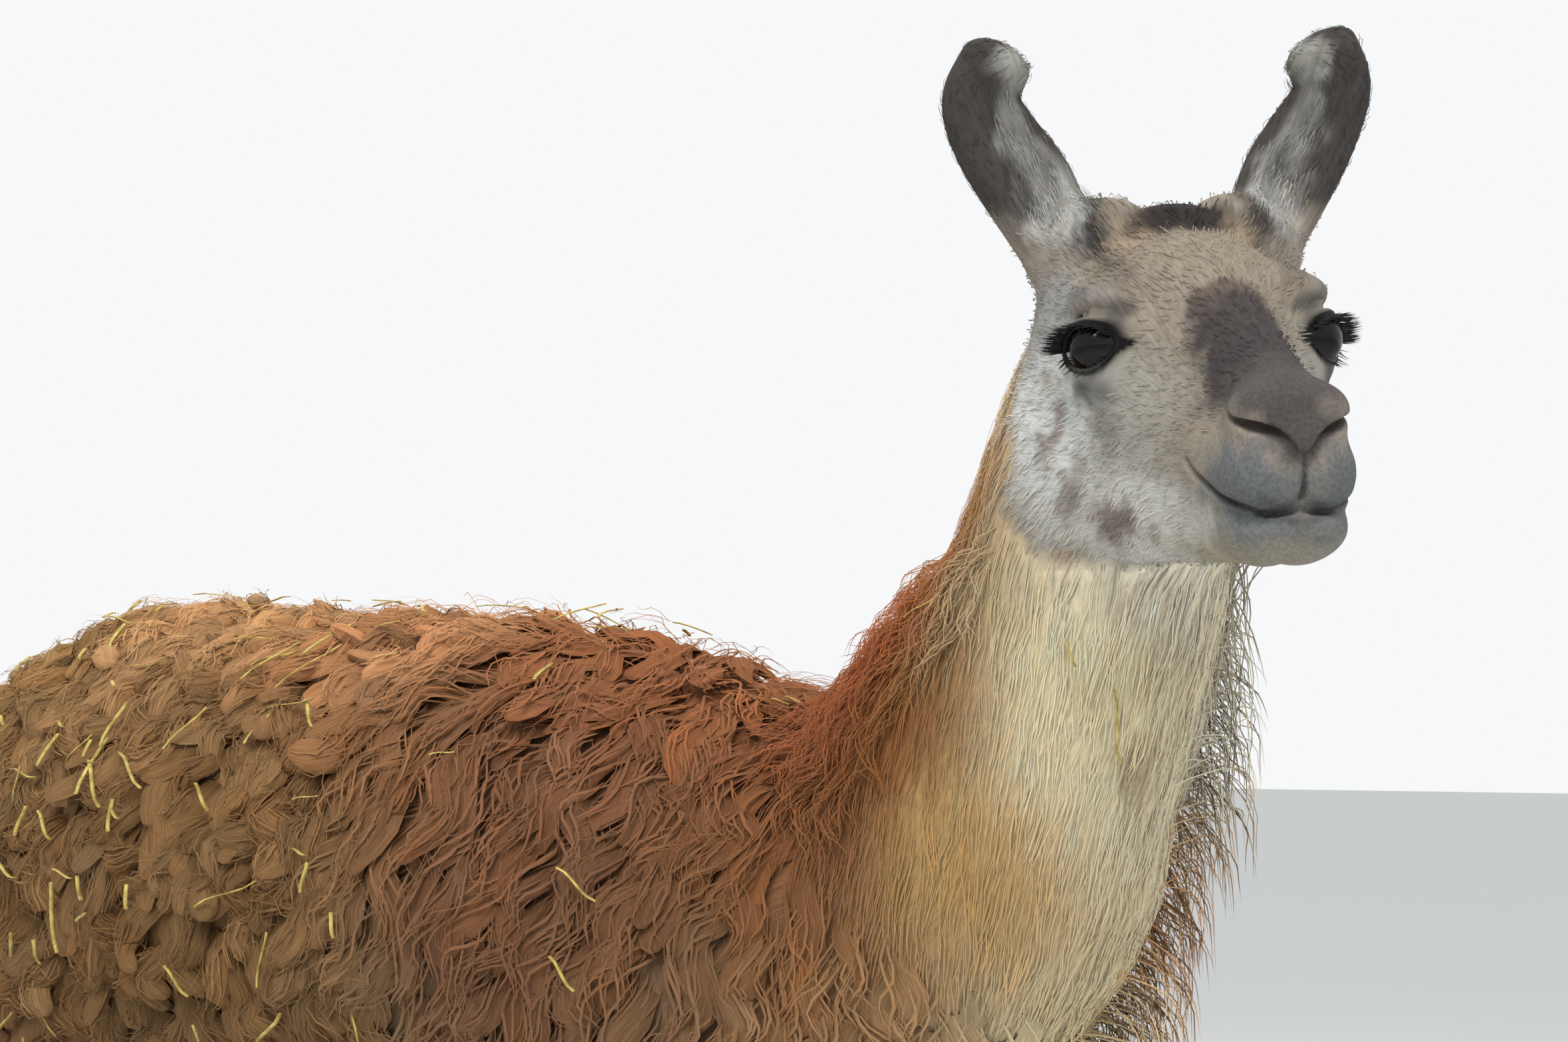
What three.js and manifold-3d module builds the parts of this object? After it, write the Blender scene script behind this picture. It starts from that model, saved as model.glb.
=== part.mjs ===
// A standing llama, life size, in millimetres, +Z up. The body faces -Y and its left side is +X.
// The neck leans forward and the head is turned to the animal's right.
// Every solid reaches to the tips of the coat. The whole body is one smooth field of bars and lumps,
// which is then parted with thin cuts at the neck, ears, tail, legs and feet.

import * as THREE from "three";
import Module from "manifold-3d";
import { mergeVertices } from "three/addons/utils/BufferGeometryUtils.js";

const wasm = await Module();
wasm.setup();

// ---------- driving sizes ----------

const THIN_CUT = 0.4; // gap between neighbouring solids at a flat cut
const SEAT_GAP = 2; // gap between a curved seat and the solid that sits in it
const SAMPLES = 4; // bars between two stations of a limb
const FAR = 3000; // larger than the animal

const BLEND = { body: 60, neck: 24, fringe: 20, head: 30, cheek: 24, face: 16, foot: 14 };

// Stations are [x, y, z, half width, half depth]; the width is measured across the animal.
const TRUNK = [
  [0, -300, 856, 108, 138],
  [0, -180, 864, 184, 200],
  [0, -10, 908, 226, 236],
  [0, 220, 918, 256, 250],
  [0, 430, 938, 250, 246],
  [0, 600, 948, 226, 240],
  [0, 745, 912, 165, 190],
];

const NECK = [
  [0, -165, 872, 150, 165],
  [-17, -319, 948, 130, 158],
  [-38, -380, 1030, 120, 131],
  [-56, -440, 1115, 110, 106],
  [-77, -480, 1202, 102, 94],
  [-89, -511, 1285, 94, 86],
];
/** Long hair that hangs from the left side of the throat. */
const FRINGE = [
  [-16, -525, 1150, 26, 26],
  [-4, -515, 1115, 35, 35],
  [42, -495, 1030, 40, 42],
  [68, -448, 948, 42, 42],
  [60, -435, 880, 38, 38],
  [54, -424, 810, 30, 30],
];

const TAIL = [
  [0, 760, 1010, 60, 60],
  [0, 865, 990, 62, 56],
  [0, 915, 900, 62, 52],
  [0, 922, 790, 50, 42],
  [0, 912, 715, 26, 24],
];

const FRONT_LEG = [
  [110, -130, 850, 95, 150],
  [128, -95, 665, 82, 118],
  [124, -85, 560, 60, 76],
  [118, -95, 440, 45, 52],
  [117, -97, 380, 42, 46],
  [116, -95, 250, 28, 33],
  [116, -97, 120, 32, 36],
  [116, -115, 62, 36, 34],
];

const HIND_LEG = [
  [120, 640, 860, 112, 170],
  [132, 585, 690, 92, 132],
  [128, 635, 560, 60, 84],
  [120, 700, 455, 38, 55],
  [119, 712, 400, 34, 42],
  [118, 700, 270, 28, 33],
  [118, 690, 120, 31, 35],
  [118, 672, 62, 35, 34],
];

const TOE = { apart: 23, length: 62, wide: 21, high: 25, rise: 21, tip: 9 };
const NAIL = { long: 15, wide: 9, high: 13 };

// The head's own frame: origin midway between the eyes, x to its left, -y towards the nose.
const HEAD = { at: [-150, -575, 1290], turn: -54, nod: 10.5, roll: -2.5 };
const EYE = { at: [61, 3, -11.5], radius: 22.5 };

// The main wedge of the head, from the back of the skull to the nose.
const WEDGE = [
  [0, 90, -10, 78, 82],
  [0, 55, -22, 86, 96],
  [0, 20, -38, 72, 96],
  [0, -20, -50, 53, 88],
  [0, -60, -60, 40, 74],
  [0, -100, -68, 35, 61],
  [0, -138, -76, 31, 48],
  [0, -156, -80, 27, 36],
];
const CHEEK = [
  [46, 44, -58, 42, 48],
  [36, -10, -66, 34, 44],
  [25, -62, -76, 27, 36],
  [17, -108, -84, 22, 26],
];
const JAW = [
  [54, 62, -95, 44, 50],
  [43, 6, -109, 38, 44],
  [21, -66, -112, 24, 30],
  [9, -132, -113, 18, 19],
];
const BROW = [[54, 8, 17, 26, 32, 15], [57, 4, -13, 26, 33, 27]];
const EAR_ROOT = [[60, 84, 42, 34, 34, 42]];
const POLL = [[0, 70, 61, 40, 30, 27], [38, 78, 69, 30, 27, 25]];
const LIP = [[16, -147, -87, 20, 28, 21], [11, -147, -116, 19, 24, 13]];
const NOSTRIL_WING = [[15, -156, -53, 16, 20, 13]];

const EAR = [
  [66, 96, 56, 30, 22],
  [86, 100, 98, 35, 22],
  [106, 102, 130, 33, 20],
  [117, 98, 156, 29, 19],
  [107, 90, 178, 28, 18],
];
const EAR_CHANNEL = [
  [70, 76, 68, 13, 15],
  [83, 75, 98, 18, 17],
  [98, 77, 130, 12, 14],
  [105, 78, 150, 7, 9],
];

// ---------- the field ----------

const lerp = THREE.MathUtils.lerp;

/** Signed distance to an ellipsoid whose half axes are a, b and c, at the offset x, y, z. */
function ellipsoid(x, y, z, a, b, c) {
  const near = Math.hypot(x / a, y / b, z / c);
  const slope = Math.hypot(x / (a * a), y / (b * b), z / (c * c));
  return slope < 1e-9 ? -Math.min(a, b, c) : (near * (near - 1)) / slope;
}

/** A limb: a row of elliptical bars along a smooth curve through its stations. */
function limb(stations, across = new THREE.Vector3(1, 0, 0)) {
  const line = new THREE.CatmullRomCurve3(
    stations.map(([x, y, z]) => new THREE.Vector3(x, y, z)), false, "catmullrom");
  const girth = new THREE.CatmullRomCurve3(
    stations.map(([, , , wide, deep]) => new THREE.Vector3(wide, deep, 0)), false, "catmullrom");
  const count = (stations.length - 1) * SAMPLES;
  const bars = [];
  for (let i = 0; i < count; i++) {
    const a = line.getPoint(i / count);
    const b = line.getPoint((i + 1) / count);
    const along = b.clone().sub(a);
    const length = along.length();
    along.divideScalar(length);
    const side = across.clone().addScaledVector(along, -across.dot(along)).normalize();
    const out = along.clone().cross(side);
    bars.push({ a, along, side, out, length, from: girth.getPoint(i / count), to: girth.getPoint((i + 1) / count) });
  }
  return (p) => {
    let nearest = Infinity;
    for (const bar of bars) {
      const x = p.x - bar.a.x;
      const y = p.y - bar.a.y;
      const z = p.z - bar.a.z;
      const reach = x * bar.along.x + y * bar.along.y + z * bar.along.z;
      const t = Math.min(1, Math.max(0, reach / bar.length));
      const wide = lerp(bar.from.x, bar.to.x, t);
      const deep = lerp(bar.from.y, bar.to.y, t);
      const past = reach - t * bar.length;
      const u = x * bar.side.x + y * bar.side.y + z * bar.side.z;
      const v = x * bar.out.x + y * bar.out.y + z * bar.out.z;
      nearest = Math.min(nearest, ellipsoid(u, v, past, wide, deep, Math.min(wide, deep)));
    }
    return nearest;
  };
}

/** Lumps: ellipsoids given as [x, y, z, half width, half length, half height]. */
const lumps = (list) => (p) =>
  Math.min(...list.map(([x, y, z, a, b, c]) => ellipsoid(p.x - x, p.y - y, p.z - z, a, b, c)));

/** Joins fields with a fillet of about the given size. */
const blend = (size, ...fields) => (p) =>
  fields.reduce((d, field) => {
    const e = field(p);
    const h = Math.max(size - Math.abs(d - e), 0) / size;
    return Math.min(d, e) - (h * h * size) / 4;
  }, Infinity);

/** The same field on both sides of the animal. */
const mirrored = (field) => {
  const q = new THREE.Vector3();
  return (p) => field(q.set(Math.abs(p.x), p.y, p.z));
};

/** A field given in the head's own frame, read from the animal's. */
const headFrame = new THREE.Object3D();
headFrame.position.set(...HEAD.at);
headFrame.rotation.set(
  ...[HEAD.nod, HEAD.roll, HEAD.turn].map(THREE.MathUtils.degToRad), "ZYX");
headFrame.updateMatrixWorld();
const toHead = headFrame.matrixWorld.clone().invert();
const onHead = (field) => {
  const q = new THREE.Vector3();
  return (p) => field(q.copy(p).applyMatrix4(toHead));
};

const muzzle = blend(BLEND.face, limb(WEDGE), mirrored(lumps(LIP)), mirrored(lumps(NOSTRIL_WING)));
const face = blend(BLEND.cheek, muzzle, mirrored(limb(CHEEK)));
const head = blend(
  BLEND.head,
  face, mirrored(limb(JAW)), mirrored(lumps(BROW)), mirrored(lumps(EAR_ROOT)), mirrored(lumps(POLL)));

const frontLeg = mirrored(limb(FRONT_LEG));
const hindLeg = mirrored(limb(HIND_LEG));

/** The two toes below a pastern, as long low lumps that the floor cuts flat. */
function toes([x, y]) {
  const one = (side) => limb([
    [x + side * TOE.apart * 0.7, y + 6, TOE.rise * 2.4, TOE.wide, TOE.high],
    [x + side * TOE.apart, y - 18, TOE.rise, TOE.wide, TOE.high + 3],
    [x + side * TOE.apart, y - TOE.length, TOE.tip, TOE.wide - 2, TOE.high - 5],
  ]);
  return mirrored(blend(4, one(-1), one(1)));
}
const frontToes = toes(FRONT_LEG.at(-1));
const hindToes = toes(HIND_LEG.at(-1));

const body = blend(
  BLEND.neck,
  blend(BLEND.body, limb(TRUNK), frontLeg, hindLeg, limb(TAIL)),
  blend(BLEND.fringe, limb(NECK), limb(FRINGE)));
const lowerFront = blend(BLEND.foot, frontLeg, frontToes);
const lowerHind = blend(BLEND.foot, hindLeg, hindToes);
const whole = blend(BLEND.head, body, onHead(head));

// ---------- from field to solid ----------

/** The surface where the field is zero, inside a box, on a grid of the given steps.
 *  No grid point may lie nearly on the surface, so that no face comes out as a sliver. */
function surface(field, low, high, step) {
  const n = high.map((h, i) => Math.ceil((h - low[i]) / step[i]) + 1);
  const p = new THREE.Vector3();
  const at = (i, j, k) => (i * n[1] + j) * n[2] + k;
  const least = Math.min(...step) * 0.12;
  const values = new Float32Array(n[0] * n[1] * n[2]);
  for (let i = 0; i < n[0]; i++)
    for (let j = 0; j < n[1]; j++)
      for (let k = 0; k < n[2]; k++) {
        const rim = [i, j, k].some((c, axis) => c === 0 || c === n[axis] - 1);
        p.set(low[0] + i * step[0], low[1] + j * step[1], low[2] + k * step[2]);
        const value = rim ? Math.max(field(p), step[0] / 2) : field(p);
        values[at(i, j, k)] = Math.abs(value) < least ? (value < 0 ? -least : least) : value;
      }
  // Where two inner points touch only corner to corner, a third is taken in, or the sheets would meet in a line.
  const strides = [n[1] * n[2], n[2], 1];
  for (let again = true; again; ) {
    again = false;
    for (let here = 0; here < values.length; here++)
      for (let axis = 0; axis < 3; axis++) {
        const [u, v] = [strides[axis], strides[(axis + 1) % 3]];
        const square = [here, here + u, here + u + v, here + v];
        if (square[2] >= values.length) continue;
        const [a, b, c, d] = square.map((corner) => values[corner] < 0);
        if (a !== c || b !== d || a === b) continue;
        values[a ? square[1] : square[0]] = -least;
        again = true;
      }
  }
  const positions = [];
  const vertexOf = new Map();
  const inside = (i, j, k) => values[at(i, j, k)] < 0;
  for (let i = 0; i < n[0] - 1; i++)
    for (let j = 0; j < n[1] - 1; j++)
      for (let k = 0; k < n[2] - 1; k++) {
        const sum = [0, 0, 0];
        let crossings = 0;
        for (let axis = 0; axis < 3; axis++)
          for (let corner = 0; corner < 4; corner++) {
            const a = [i, j, k];
            a[(axis + 1) % 3] += corner & 1;
            a[(axis + 2) % 3] += corner >> 1;
            const b = [...a];
            b[axis] += 1;
            const va = values[at(...a)];
            const vb = values[at(...b)];
            if (va < 0 === vb < 0) continue;
            const t = va / (va - vb);
            a[axis] += t;
            for (let c = 0; c < 3; c++) sum[c] += a[c];
            crossings += 1;
          }
        if (!crossings) continue;
        vertexOf.set(at(i, j, k), positions.length / 3);
        for (let c = 0; c < 3; c++) positions.push(low[c] + (sum[c] / crossings) * step[c]);
      }
  const index = [];
  for (let i = 0; i < n[0] - 1; i++)
    for (let j = 0; j < n[1] - 1; j++)
      for (let k = 0; k < n[2] - 1; k++)
        for (let axis = 0; axis < 3; axis++) {
          const b = [i, j, k];
          b[axis] += 1;
          const here = inside(i, j, k);
          if (here === inside(...b)) continue;
          const [u, v] = [(axis + 1) % 3, (axis + 2) % 3];
          const ring = [[1, 1], [0, 1], [0, 0], [1, 0]].map(([du, dv]) => {
            const cell = [i, j, k];
            cell[u] -= du;
            cell[v] -= dv;
            return vertexOf.get(at(...cell));
          });
          if (!here) ring.reverse();
          index.push(ring[0], ring[1], ring[2], ring[0], ring[2], ring[3]);
        }
  const geometry = new THREE.BufferGeometry();
  geometry.setAttribute("position", new THREE.Float32BufferAttribute(positions, 3));
  geometry.setIndex(index);
  return geometry;
}

/** The same surface with corners that nearly coincide made one, and the faces that vanish left out. */
function welded(geometry, within) {
  const bare = new THREE.BufferGeometry().setAttribute("position", geometry.getAttribute("position"));
  if (geometry.index) bare.setIndex(geometry.index);
  const merged = mergeVertices(bare, within);
  const corners = merged.index.array;
  const kept = [];
  for (let i = 0; i < corners.length; i += 3) {
    const [a, b, c] = corners.slice(i, i + 3);
    if (a !== b && b !== c && c !== a) kept.push(a, b, c);
  }
  return merged.setIndex(kept);
}

/** The same surface on the other side of the animal's middle plane. */
function acrossMiddle(geometry) {
  const copy = geometry.clone().scale(-1, 1, 1);
  copy.index.array.reverse();
  return copy;
}

/** A closed three.js geometry as a solid that can be cut and joined. */
function solidOf(geometry) {
  const closed = welded(geometry, 1e-3);
  return new wasm.Manifold(new wasm.Mesh({
    numProp: 3,
    vertProperties: closed.getAttribute("position").array,
    triVerts: new Uint32Array(closed.index.array),
  }));
}

/** All the space on the side of a plane that its normal points to. */
function beyond(point, normal, gap = 0) {
  const box = new THREE.BoxGeometry(FAR, FAR, FAR).translate(0, 0, FAR / 2 + gap);
  const frame = new THREE.Object3D();
  frame.position.set(...point);
  frame.quaternion.setFromUnitVectors(
    new THREE.Vector3(0, 0, 1), new THREE.Vector3(...normal).normalize());
  frame.updateMatrixWorld();
  return solidOf(box.applyMatrix4(frame.matrixWorld));
}

/** Splits a solid at a plane: the piece beyond it, and the rest, with a thin gap between them. */
const opposite = (normal) => normal.map((c) => -c);
const pastPlane = (point, normal) => beyond(point, normal, THIN_CUT / 2);

const FLOOR = beyond([0, 0, 0], [0, 0, 1]);

// ---------- where the body is parted ----------

const CUT = {
  throat: { point: [-92, -520, 1262], normal: [-0.55, -0.5, 0.67] },
  collar: { point: [-8, -330, 965], normal: [-0.15, -0.64, 0.76] },
  dock: { point: [0, 848, 990], normal: [0, 0.97, 0.2] },
  elbow: { point: [0, -90, 600], normal: [-0.42, 0, 0.9] },
  stifle: { point: [0, 640, 690], normal: [-0.36, -0.3, 0.88] },
  fetlock: { point: [0, 0, 118], normal: [0, 0, 1] },
};
const MIDDLE_Y = 260; // between the front and the hind legs

const onSide = ([x, y, z], side) => [side * x, y, z];

// ---------- the pieces ----------

const COLOURS = {
  fleece: 0xa5714a,
  cream: 0xd8c8a4,
  face: 0x9a948b,
  ear: 0x6f665c,
  eye: 0x140d0a,
  nail: 0x2c2723,
};

const llama = new THREE.Group();

function show(name, solid, colour, roughness = 0.9) {
  const mesh = solid.getMesh();
  const geometry = new THREE.BufferGeometry();
  geometry.setAttribute("position", new THREE.BufferAttribute(new Float32Array(mesh.vertProperties), 3));
  geometry.setIndex(new THREE.BufferAttribute(new Uint32Array(mesh.triVerts), 1));
  const material = new THREE.MeshStandardMaterial({ color: colour, roughness, metalness: 0 });
  const piece = new THREE.Mesh(welded(geometry, 0.02), material);
  piece.name = name;
  llama.add(piece);
}

/** The largest of a solid's separate lumps, without slivers. */
const largest = (solid) =>
  solid.decompose().reduce((best, s) => (s.volume() > best.volume() ? s : best));

// Eyes are whole balls; the head is cut back from them.
const eyes = [-1, 1].map((side) => {
  const place = new THREE.Vector3(...onSide(EYE.at, side)).applyMatrix4(headFrame.matrixWorld);
  const ball = (radius, out = 0) => solidOf(
    new THREE.SphereGeometry(radius, 10, 8).translate(side * out, -out / 3, 0)
      .applyMatrix4(headFrame.matrixWorld.clone().setPosition(place)));
  return {
    side,
    ball: ball(EYE.radius),
    socket: ball(EYE.radius + THIN_CUT).add(ball(EYE.radius * 0.95, EYE.radius * 0.75)),
  };
});

// Head: everything past the throat.
const headBox = [[-370, -770, 1100], [40, -420, 1420]];
const headStep = [20, 20, 20];
const throatSide = pastPlane(CUT.throat.point, CUT.throat.normal);
let headSolid = solidOf(surface(whole, ...headBox, headStep)).intersect(throatSide);
for (const { socket } of eyes) headSolid = headSolid.subtract(socket);
show("head", largest(headSolid), COLOURS.face);

// Ears: curved, cupped blades that stand on the head.
const headGrown = solidOf(surface((p) => whole(p) - SEAT_GAP, ...headBox, headStep));
const earBox = [[30, 50, 10], [156, 130, 224]];
const blade = surface(limb(EAR), ...earBox, [13, 12, 16]);
const channel = surface(limb(EAR_CHANNEL), ...earBox, [12, 11, 16]);
for (const { side } of eyes) {
  const [outside, hollow] = [blade, channel].map((shape) =>
    solidOf((side < 0 ? acrossMiddle(shape) : shape.clone()).applyMatrix4(headFrame.matrixWorld)));
  const name = side < 0 ? "ear_right" : "ear_left";
  show(name, largest(outside.subtract(hollow).subtract(headGrown)), COLOURS.ear);
}
for (const { side, ball } of eyes)
  show(side < 0 ? "eye_right" : "eye_left", ball, COLOURS.eye, 0.08);

// Neck: between the throat and the collar.
const collarSide = pastPlane(CUT.collar.point, CUT.collar.normal);
const neck = solidOf(surface(whole, [-330, -760, 740], [200, -90, 1440], [43, 43, 43]))
  .intersect(pastPlane(CUT.throat.point, opposite(CUT.throat.normal)))
  .intersect(collarSide);
show("neck", largest(neck), COLOURS.cream);

// Tail: behind the dock.
const tail = solidOf(surface(body, [-110, 780, 660], [110, 1000, 1090], [32, 32, 44]))
  .intersect(pastPlane(CUT.dock.point, CUT.dock.normal));
show("tail", largest(tail), COLOURS.fleece);

// Trunk: what is left above the legs.
let trunk = solidOf(surface(body, [-320, -560, 520], [320, 960, 1280], [62, 66, 60]))
  .intersect(pastPlane(CUT.collar.point, opposite(CUT.collar.normal)))
  .intersect(pastPlane(CUT.dock.point, opposite(CUT.dock.normal)));
const leftSide = beyond([0, 0, 0], [1, 0, 0]);
const rightSide = beyond([0, 0, 0], [-1, 0, 0]);
const rearHalf = beyond([0, MIDDLE_Y, 0], [0, 1, 0]);
const frontHalf = beyond([0, MIDDLE_Y, 0], [0, -1, 0]);

const ENDS = [
  {
    end: "front", cut: CUT.elbow, half: frontHalf, ankle: FRONT_LEG.at(-1),
    shank: lowerFront, low: [2, -380], high: [300, 60],
  },
  {
    end: "hind", cut: CUT.stifle, half: rearHalf, ankle: HIND_LEG.at(-1),
    shank: lowerHind, low: [2, 380], high: [300, 880],
  },
];
for (const { end, cut, half, ankle, shank, low, high } of ENDS) {
  const thigh = surface(body, [...low, 80], [...high, 900], [30, 33, 64]);
  const hoofBox = [[...low, -30], [...high, 180], [20, 20, 20]];
  const hoof = surface(shank, ...hoofBox);
  const hoofGrown = surface((p) => shank(p) - SEAT_GAP, ...hoofBox);
  for (const side of [-1, 1]) {
    const seen = (geometry) => solidOf(side < 0 ? acrossMiddle(geometry) : geometry);
    const own = half.intersect(side < 0 ? rightSide : leftSide);
    const tilt = onSide(cut.normal, side);
    const tag = `${end}_${side < 0 ? "right" : "left"}`;
    trunk = trunk.subtract(own.intersect(beyond(cut.point, opposite(tilt), -THIN_CUT / 2)));

    const leg = seen(thigh)
      .intersect(own)
      .intersect(pastPlane(cut.point, opposite(tilt)))
      .intersect(pastPlane(CUT.fetlock.point, [0, 0, 1]));
    show(`leg_${tag}`, largest(leg), COLOURS.fleece);

    const foot = seen(hoof).intersect(pastPlane(CUT.fetlock.point, [0, 0, -1])).intersect(FLOOR);
    show(`foot_${tag}`, largest(foot), COLOURS.fleece);

    for (const toe of [-1, 1]) {
      const claw = new THREE.SphereGeometry(1, 6, 5)
        .scale(NAIL.wide, NAIL.long, NAIL.high)
        .translate(ankle[0] + toe * TOE.apart, ankle[1] - TOE.length - TOE.wide + 4, NAIL.high + 4);
      const name = `nail_${tag}_${toe < 0 ? "inner" : "outer"}`;
      show(name, largest(seen(claw).subtract(seen(hoofGrown))), COLOURS.nail, 0.4);
    }
  }
}
show("trunk", largest(trunk), COLOURS.fleece);

// The origin is on the floor, below the middle of the whole animal.
const reach = new THREE.Box3().setFromObject(llama);
const middle = reach.getCenter(new THREE.Vector3());
llama.position.set(-middle.x, -middle.y, 0);

export default llama;
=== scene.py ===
import math

import bmesh
import bpy
import numpy as np
from mathutils import Euler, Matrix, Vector, kdtree


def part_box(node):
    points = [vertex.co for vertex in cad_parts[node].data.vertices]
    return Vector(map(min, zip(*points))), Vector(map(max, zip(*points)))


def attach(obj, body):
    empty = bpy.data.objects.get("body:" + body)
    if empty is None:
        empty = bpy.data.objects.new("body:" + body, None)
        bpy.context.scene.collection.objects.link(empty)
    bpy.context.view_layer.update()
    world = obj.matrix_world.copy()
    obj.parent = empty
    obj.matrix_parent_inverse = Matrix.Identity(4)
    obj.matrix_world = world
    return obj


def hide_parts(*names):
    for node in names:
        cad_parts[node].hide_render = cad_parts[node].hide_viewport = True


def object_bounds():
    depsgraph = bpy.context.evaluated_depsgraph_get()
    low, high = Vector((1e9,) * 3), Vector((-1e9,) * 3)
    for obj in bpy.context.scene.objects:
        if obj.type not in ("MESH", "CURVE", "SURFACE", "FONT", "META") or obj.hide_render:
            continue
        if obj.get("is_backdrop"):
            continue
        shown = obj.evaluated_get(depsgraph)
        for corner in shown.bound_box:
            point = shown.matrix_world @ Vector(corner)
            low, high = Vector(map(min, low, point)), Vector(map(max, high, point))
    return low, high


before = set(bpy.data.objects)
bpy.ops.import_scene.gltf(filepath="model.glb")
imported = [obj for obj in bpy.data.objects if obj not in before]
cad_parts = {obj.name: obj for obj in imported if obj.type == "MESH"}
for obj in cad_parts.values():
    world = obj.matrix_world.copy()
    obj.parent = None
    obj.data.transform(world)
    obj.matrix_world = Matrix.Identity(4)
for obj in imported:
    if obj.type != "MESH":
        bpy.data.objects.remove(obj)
CAD_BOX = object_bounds()

# ---------- Where the llama stands ----------
# A grown llama on its four feet. Its trunk faces -Y, its neck leans forward, and its head is turned
# to its right. Sizes are written in the animal's own place, where y = 0 lies under the withers.

HEAD_TURN = Euler([math.radians(a) for a in (10.5, -2.5, -54)])  # nod, tilt, turn
HEAD_AT = Vector((-0.150, -0.575, 1.290))  # midway between the eyes
EYE_SEAT = Vector((0.061, 0.003, -0.0115))  # the left eyeball's centre, seen from there
EYE_RADIUS = 0.0225
GAZE = Vector((0.74, -0.67, -0.02)).normalized()  # of the left eye
# half width of the opening of the lids, and its height above and below the middle
RIM = (0.0218, 0.0133, 0.0138)

turned = HEAD_TURN.to_matrix()
eye_boxes = [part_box(name) for name in ("eye_left", "eye_right")]
between_eyes = sum((Vector(corner) for box in eye_boxes for corner in box), Vector()) / 4
HEAD_IN_FRAME = between_eyes - turned @ Vector((0, EYE_SEAT.y, EYE_SEAT.z))
SHIFT = HEAD_IN_FRAME - HEAD_AT  # from the animal's own place to the frame

# ---------- Camera ----------
# A normal lens about a metre from the face, a little below the eyes and tipped up, so that the
# head fills the right of the picture and the back runs off to the left.

CAMERA_AZIMUTH = math.radians(-55.4)
CAMERA_PITCH = math.radians(7.4)
FACE_OFFSET = Vector((0.254, 0.119, -1.047))  # the face as the camera sees it: right, up, behind the lens

camera = bpy.data.objects.new("camera", bpy.data.cameras.new("camera"))
camera.data.lens = 39.7
camera.data.sensor_width = 36
camera.data.clip_start = 0.02
camera.rotation_euler = Euler((math.radians(90) + CAMERA_PITCH, 0, CAMERA_AZIMUTH))
camera.location = HEAD_IN_FRAME - camera.rotation_euler.to_matrix() @ FACE_OFFSET
bpy.context.scene.collection.objects.link(camera)
bpy.context.scene.camera = camera

# ---------- Shape of the body ----------
# Bones and muscle as rows of elliptical bars and a few lumps, joined with fillets. Each station is
# x, y, z, half width, half depth and the coat's depth, in millimetres, out to the coat's tips.

TRUNK = [
    (0, -300, 856, 108, 138, 21),
    (0, -180, 864, 184, 200, 25),
    (0, -10, 908, 226, 236, 28),
    (0, 220, 918, 256, 250, 29),
    (0, 430, 938, 250, 246, 29),
    (0, 600, 948, 226, 240, 29),
    (0, 745, 912, 165, 190, 27),
]
NECK = [
    (0, -165, 872, 150, 165, 24),
    (-17, -319, 948, 130, 158, 15),
    (-38, -380, 1030, 120, 131, 10),
    (-56, -440, 1115, 110, 106, 10),
    (-77, -480, 1202, 102, 94, 11),
    (-89, -511, 1285, 94, 86, 12),
]
# Long hair that hangs from the left side of the throat, outside the skin.
FRINGE = [
    (-16, -525, 1150, 26, 26, 0),
    (-4, -515, 1115, 35, 35, 0),
    (42, -495, 1030, 40, 42, 0),
    (68, -448, 948, 42, 42, 0),
    (60, -435, 880, 38, 38, 0),
    (54, -424, 810, 30, 30, 0),
]
TAIL = [
    (0, 760, 1010, 60, 60, 25),
    (0, 865, 990, 62, 56, 30),
    (0, 915, 900, 62, 52, 36),
    (0, 922, 790, 50, 42, 30),
    (0, 912, 715, 26, 24, 16),
]
FRONT_LEG = [
    (110, -130, 850, 95, 150, 34),
    (128, -95, 665, 82, 118, 26),
    (124, -85, 560, 60, 76, 18),
    (118, -95, 440, 45, 52, 11),
    (117, -97, 380, 42, 46, 8),
    (116, -95, 250, 28, 33, 6),
    (116, -97, 120, 32, 36, 5),
    (116, -115, 62, 36, 34, 4),
]
HIND_LEG = [
    (120, 640, 860, 112, 170, 36),
    (132, 585, 690, 92, 132, 28),
    (128, 635, 560, 60, 84, 18),
    (120, 700, 455, 38, 55, 9),
    (119, 712, 400, 34, 42, 7),
    (118, 700, 270, 28, 33, 6),
    (118, 690, 120, 31, 35, 5),
    (118, 672, 62, 35, 34, 4),
]
TOE_APART = 23
WEDGE = [
    (0, 90, -10, 78, 82, 12),
    (0, 55, -22, 86, 96, 10),
    (0, 20, -38, 72, 96, 7),
    (0, -20, -50, 53, 88, 6),
    (0, -60, -60, 40, 74, 5),
    (0, -100, -68, 35, 61, 4),
    (0, -138, -76, 31, 48, 2.5),
    (0, -156, -80, 27, 36, 2),
]
CHEEK = [(46, 44, -58, 42, 48, 8), (36, -10, -66, 34, 44, 6), (25, -62, -76, 27, 36, 4),
         (17, -108, -84, 22, 26, 3)]
JAW = [
    (54, 62, -95, 44, 50, 12),
    (43, 6, -109, 38, 44, 9),
    (21, -66, -112, 24, 30, 5),
    (9, -132, -113, 18, 19, 2.5),
]
EAR = [
    (66, 96, 56, 30, 22, 4),
    (86, 100, 98, 35, 22, 4),
    (106, 102, 130, 33, 20, 4),
    (117, 98, 156, 29, 19, 4),
    (107, 90, 178, 28, 18, 4),
]
EAR_HOLLOW = [
    (68, 76, 60, 15, 19, 0),
    (83, 74, 98, 21, 22, 0),
    (98, 76, 130, 15, 18, 0),
    (105, 76, 152, 8, 12, 0),
]
BROW = [(54, 8, 17, 26, 32, 15, 4), (57, 4, -13, 26, 33, 27, 4)]
EAR_ROOT = [(60, 84, 42, 34, 34, 42, 8)]
POLL = [(0, 70, 61, 40, 30, 27, 8), (38, 78, 69, 30, 27, 25, 8)]
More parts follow.
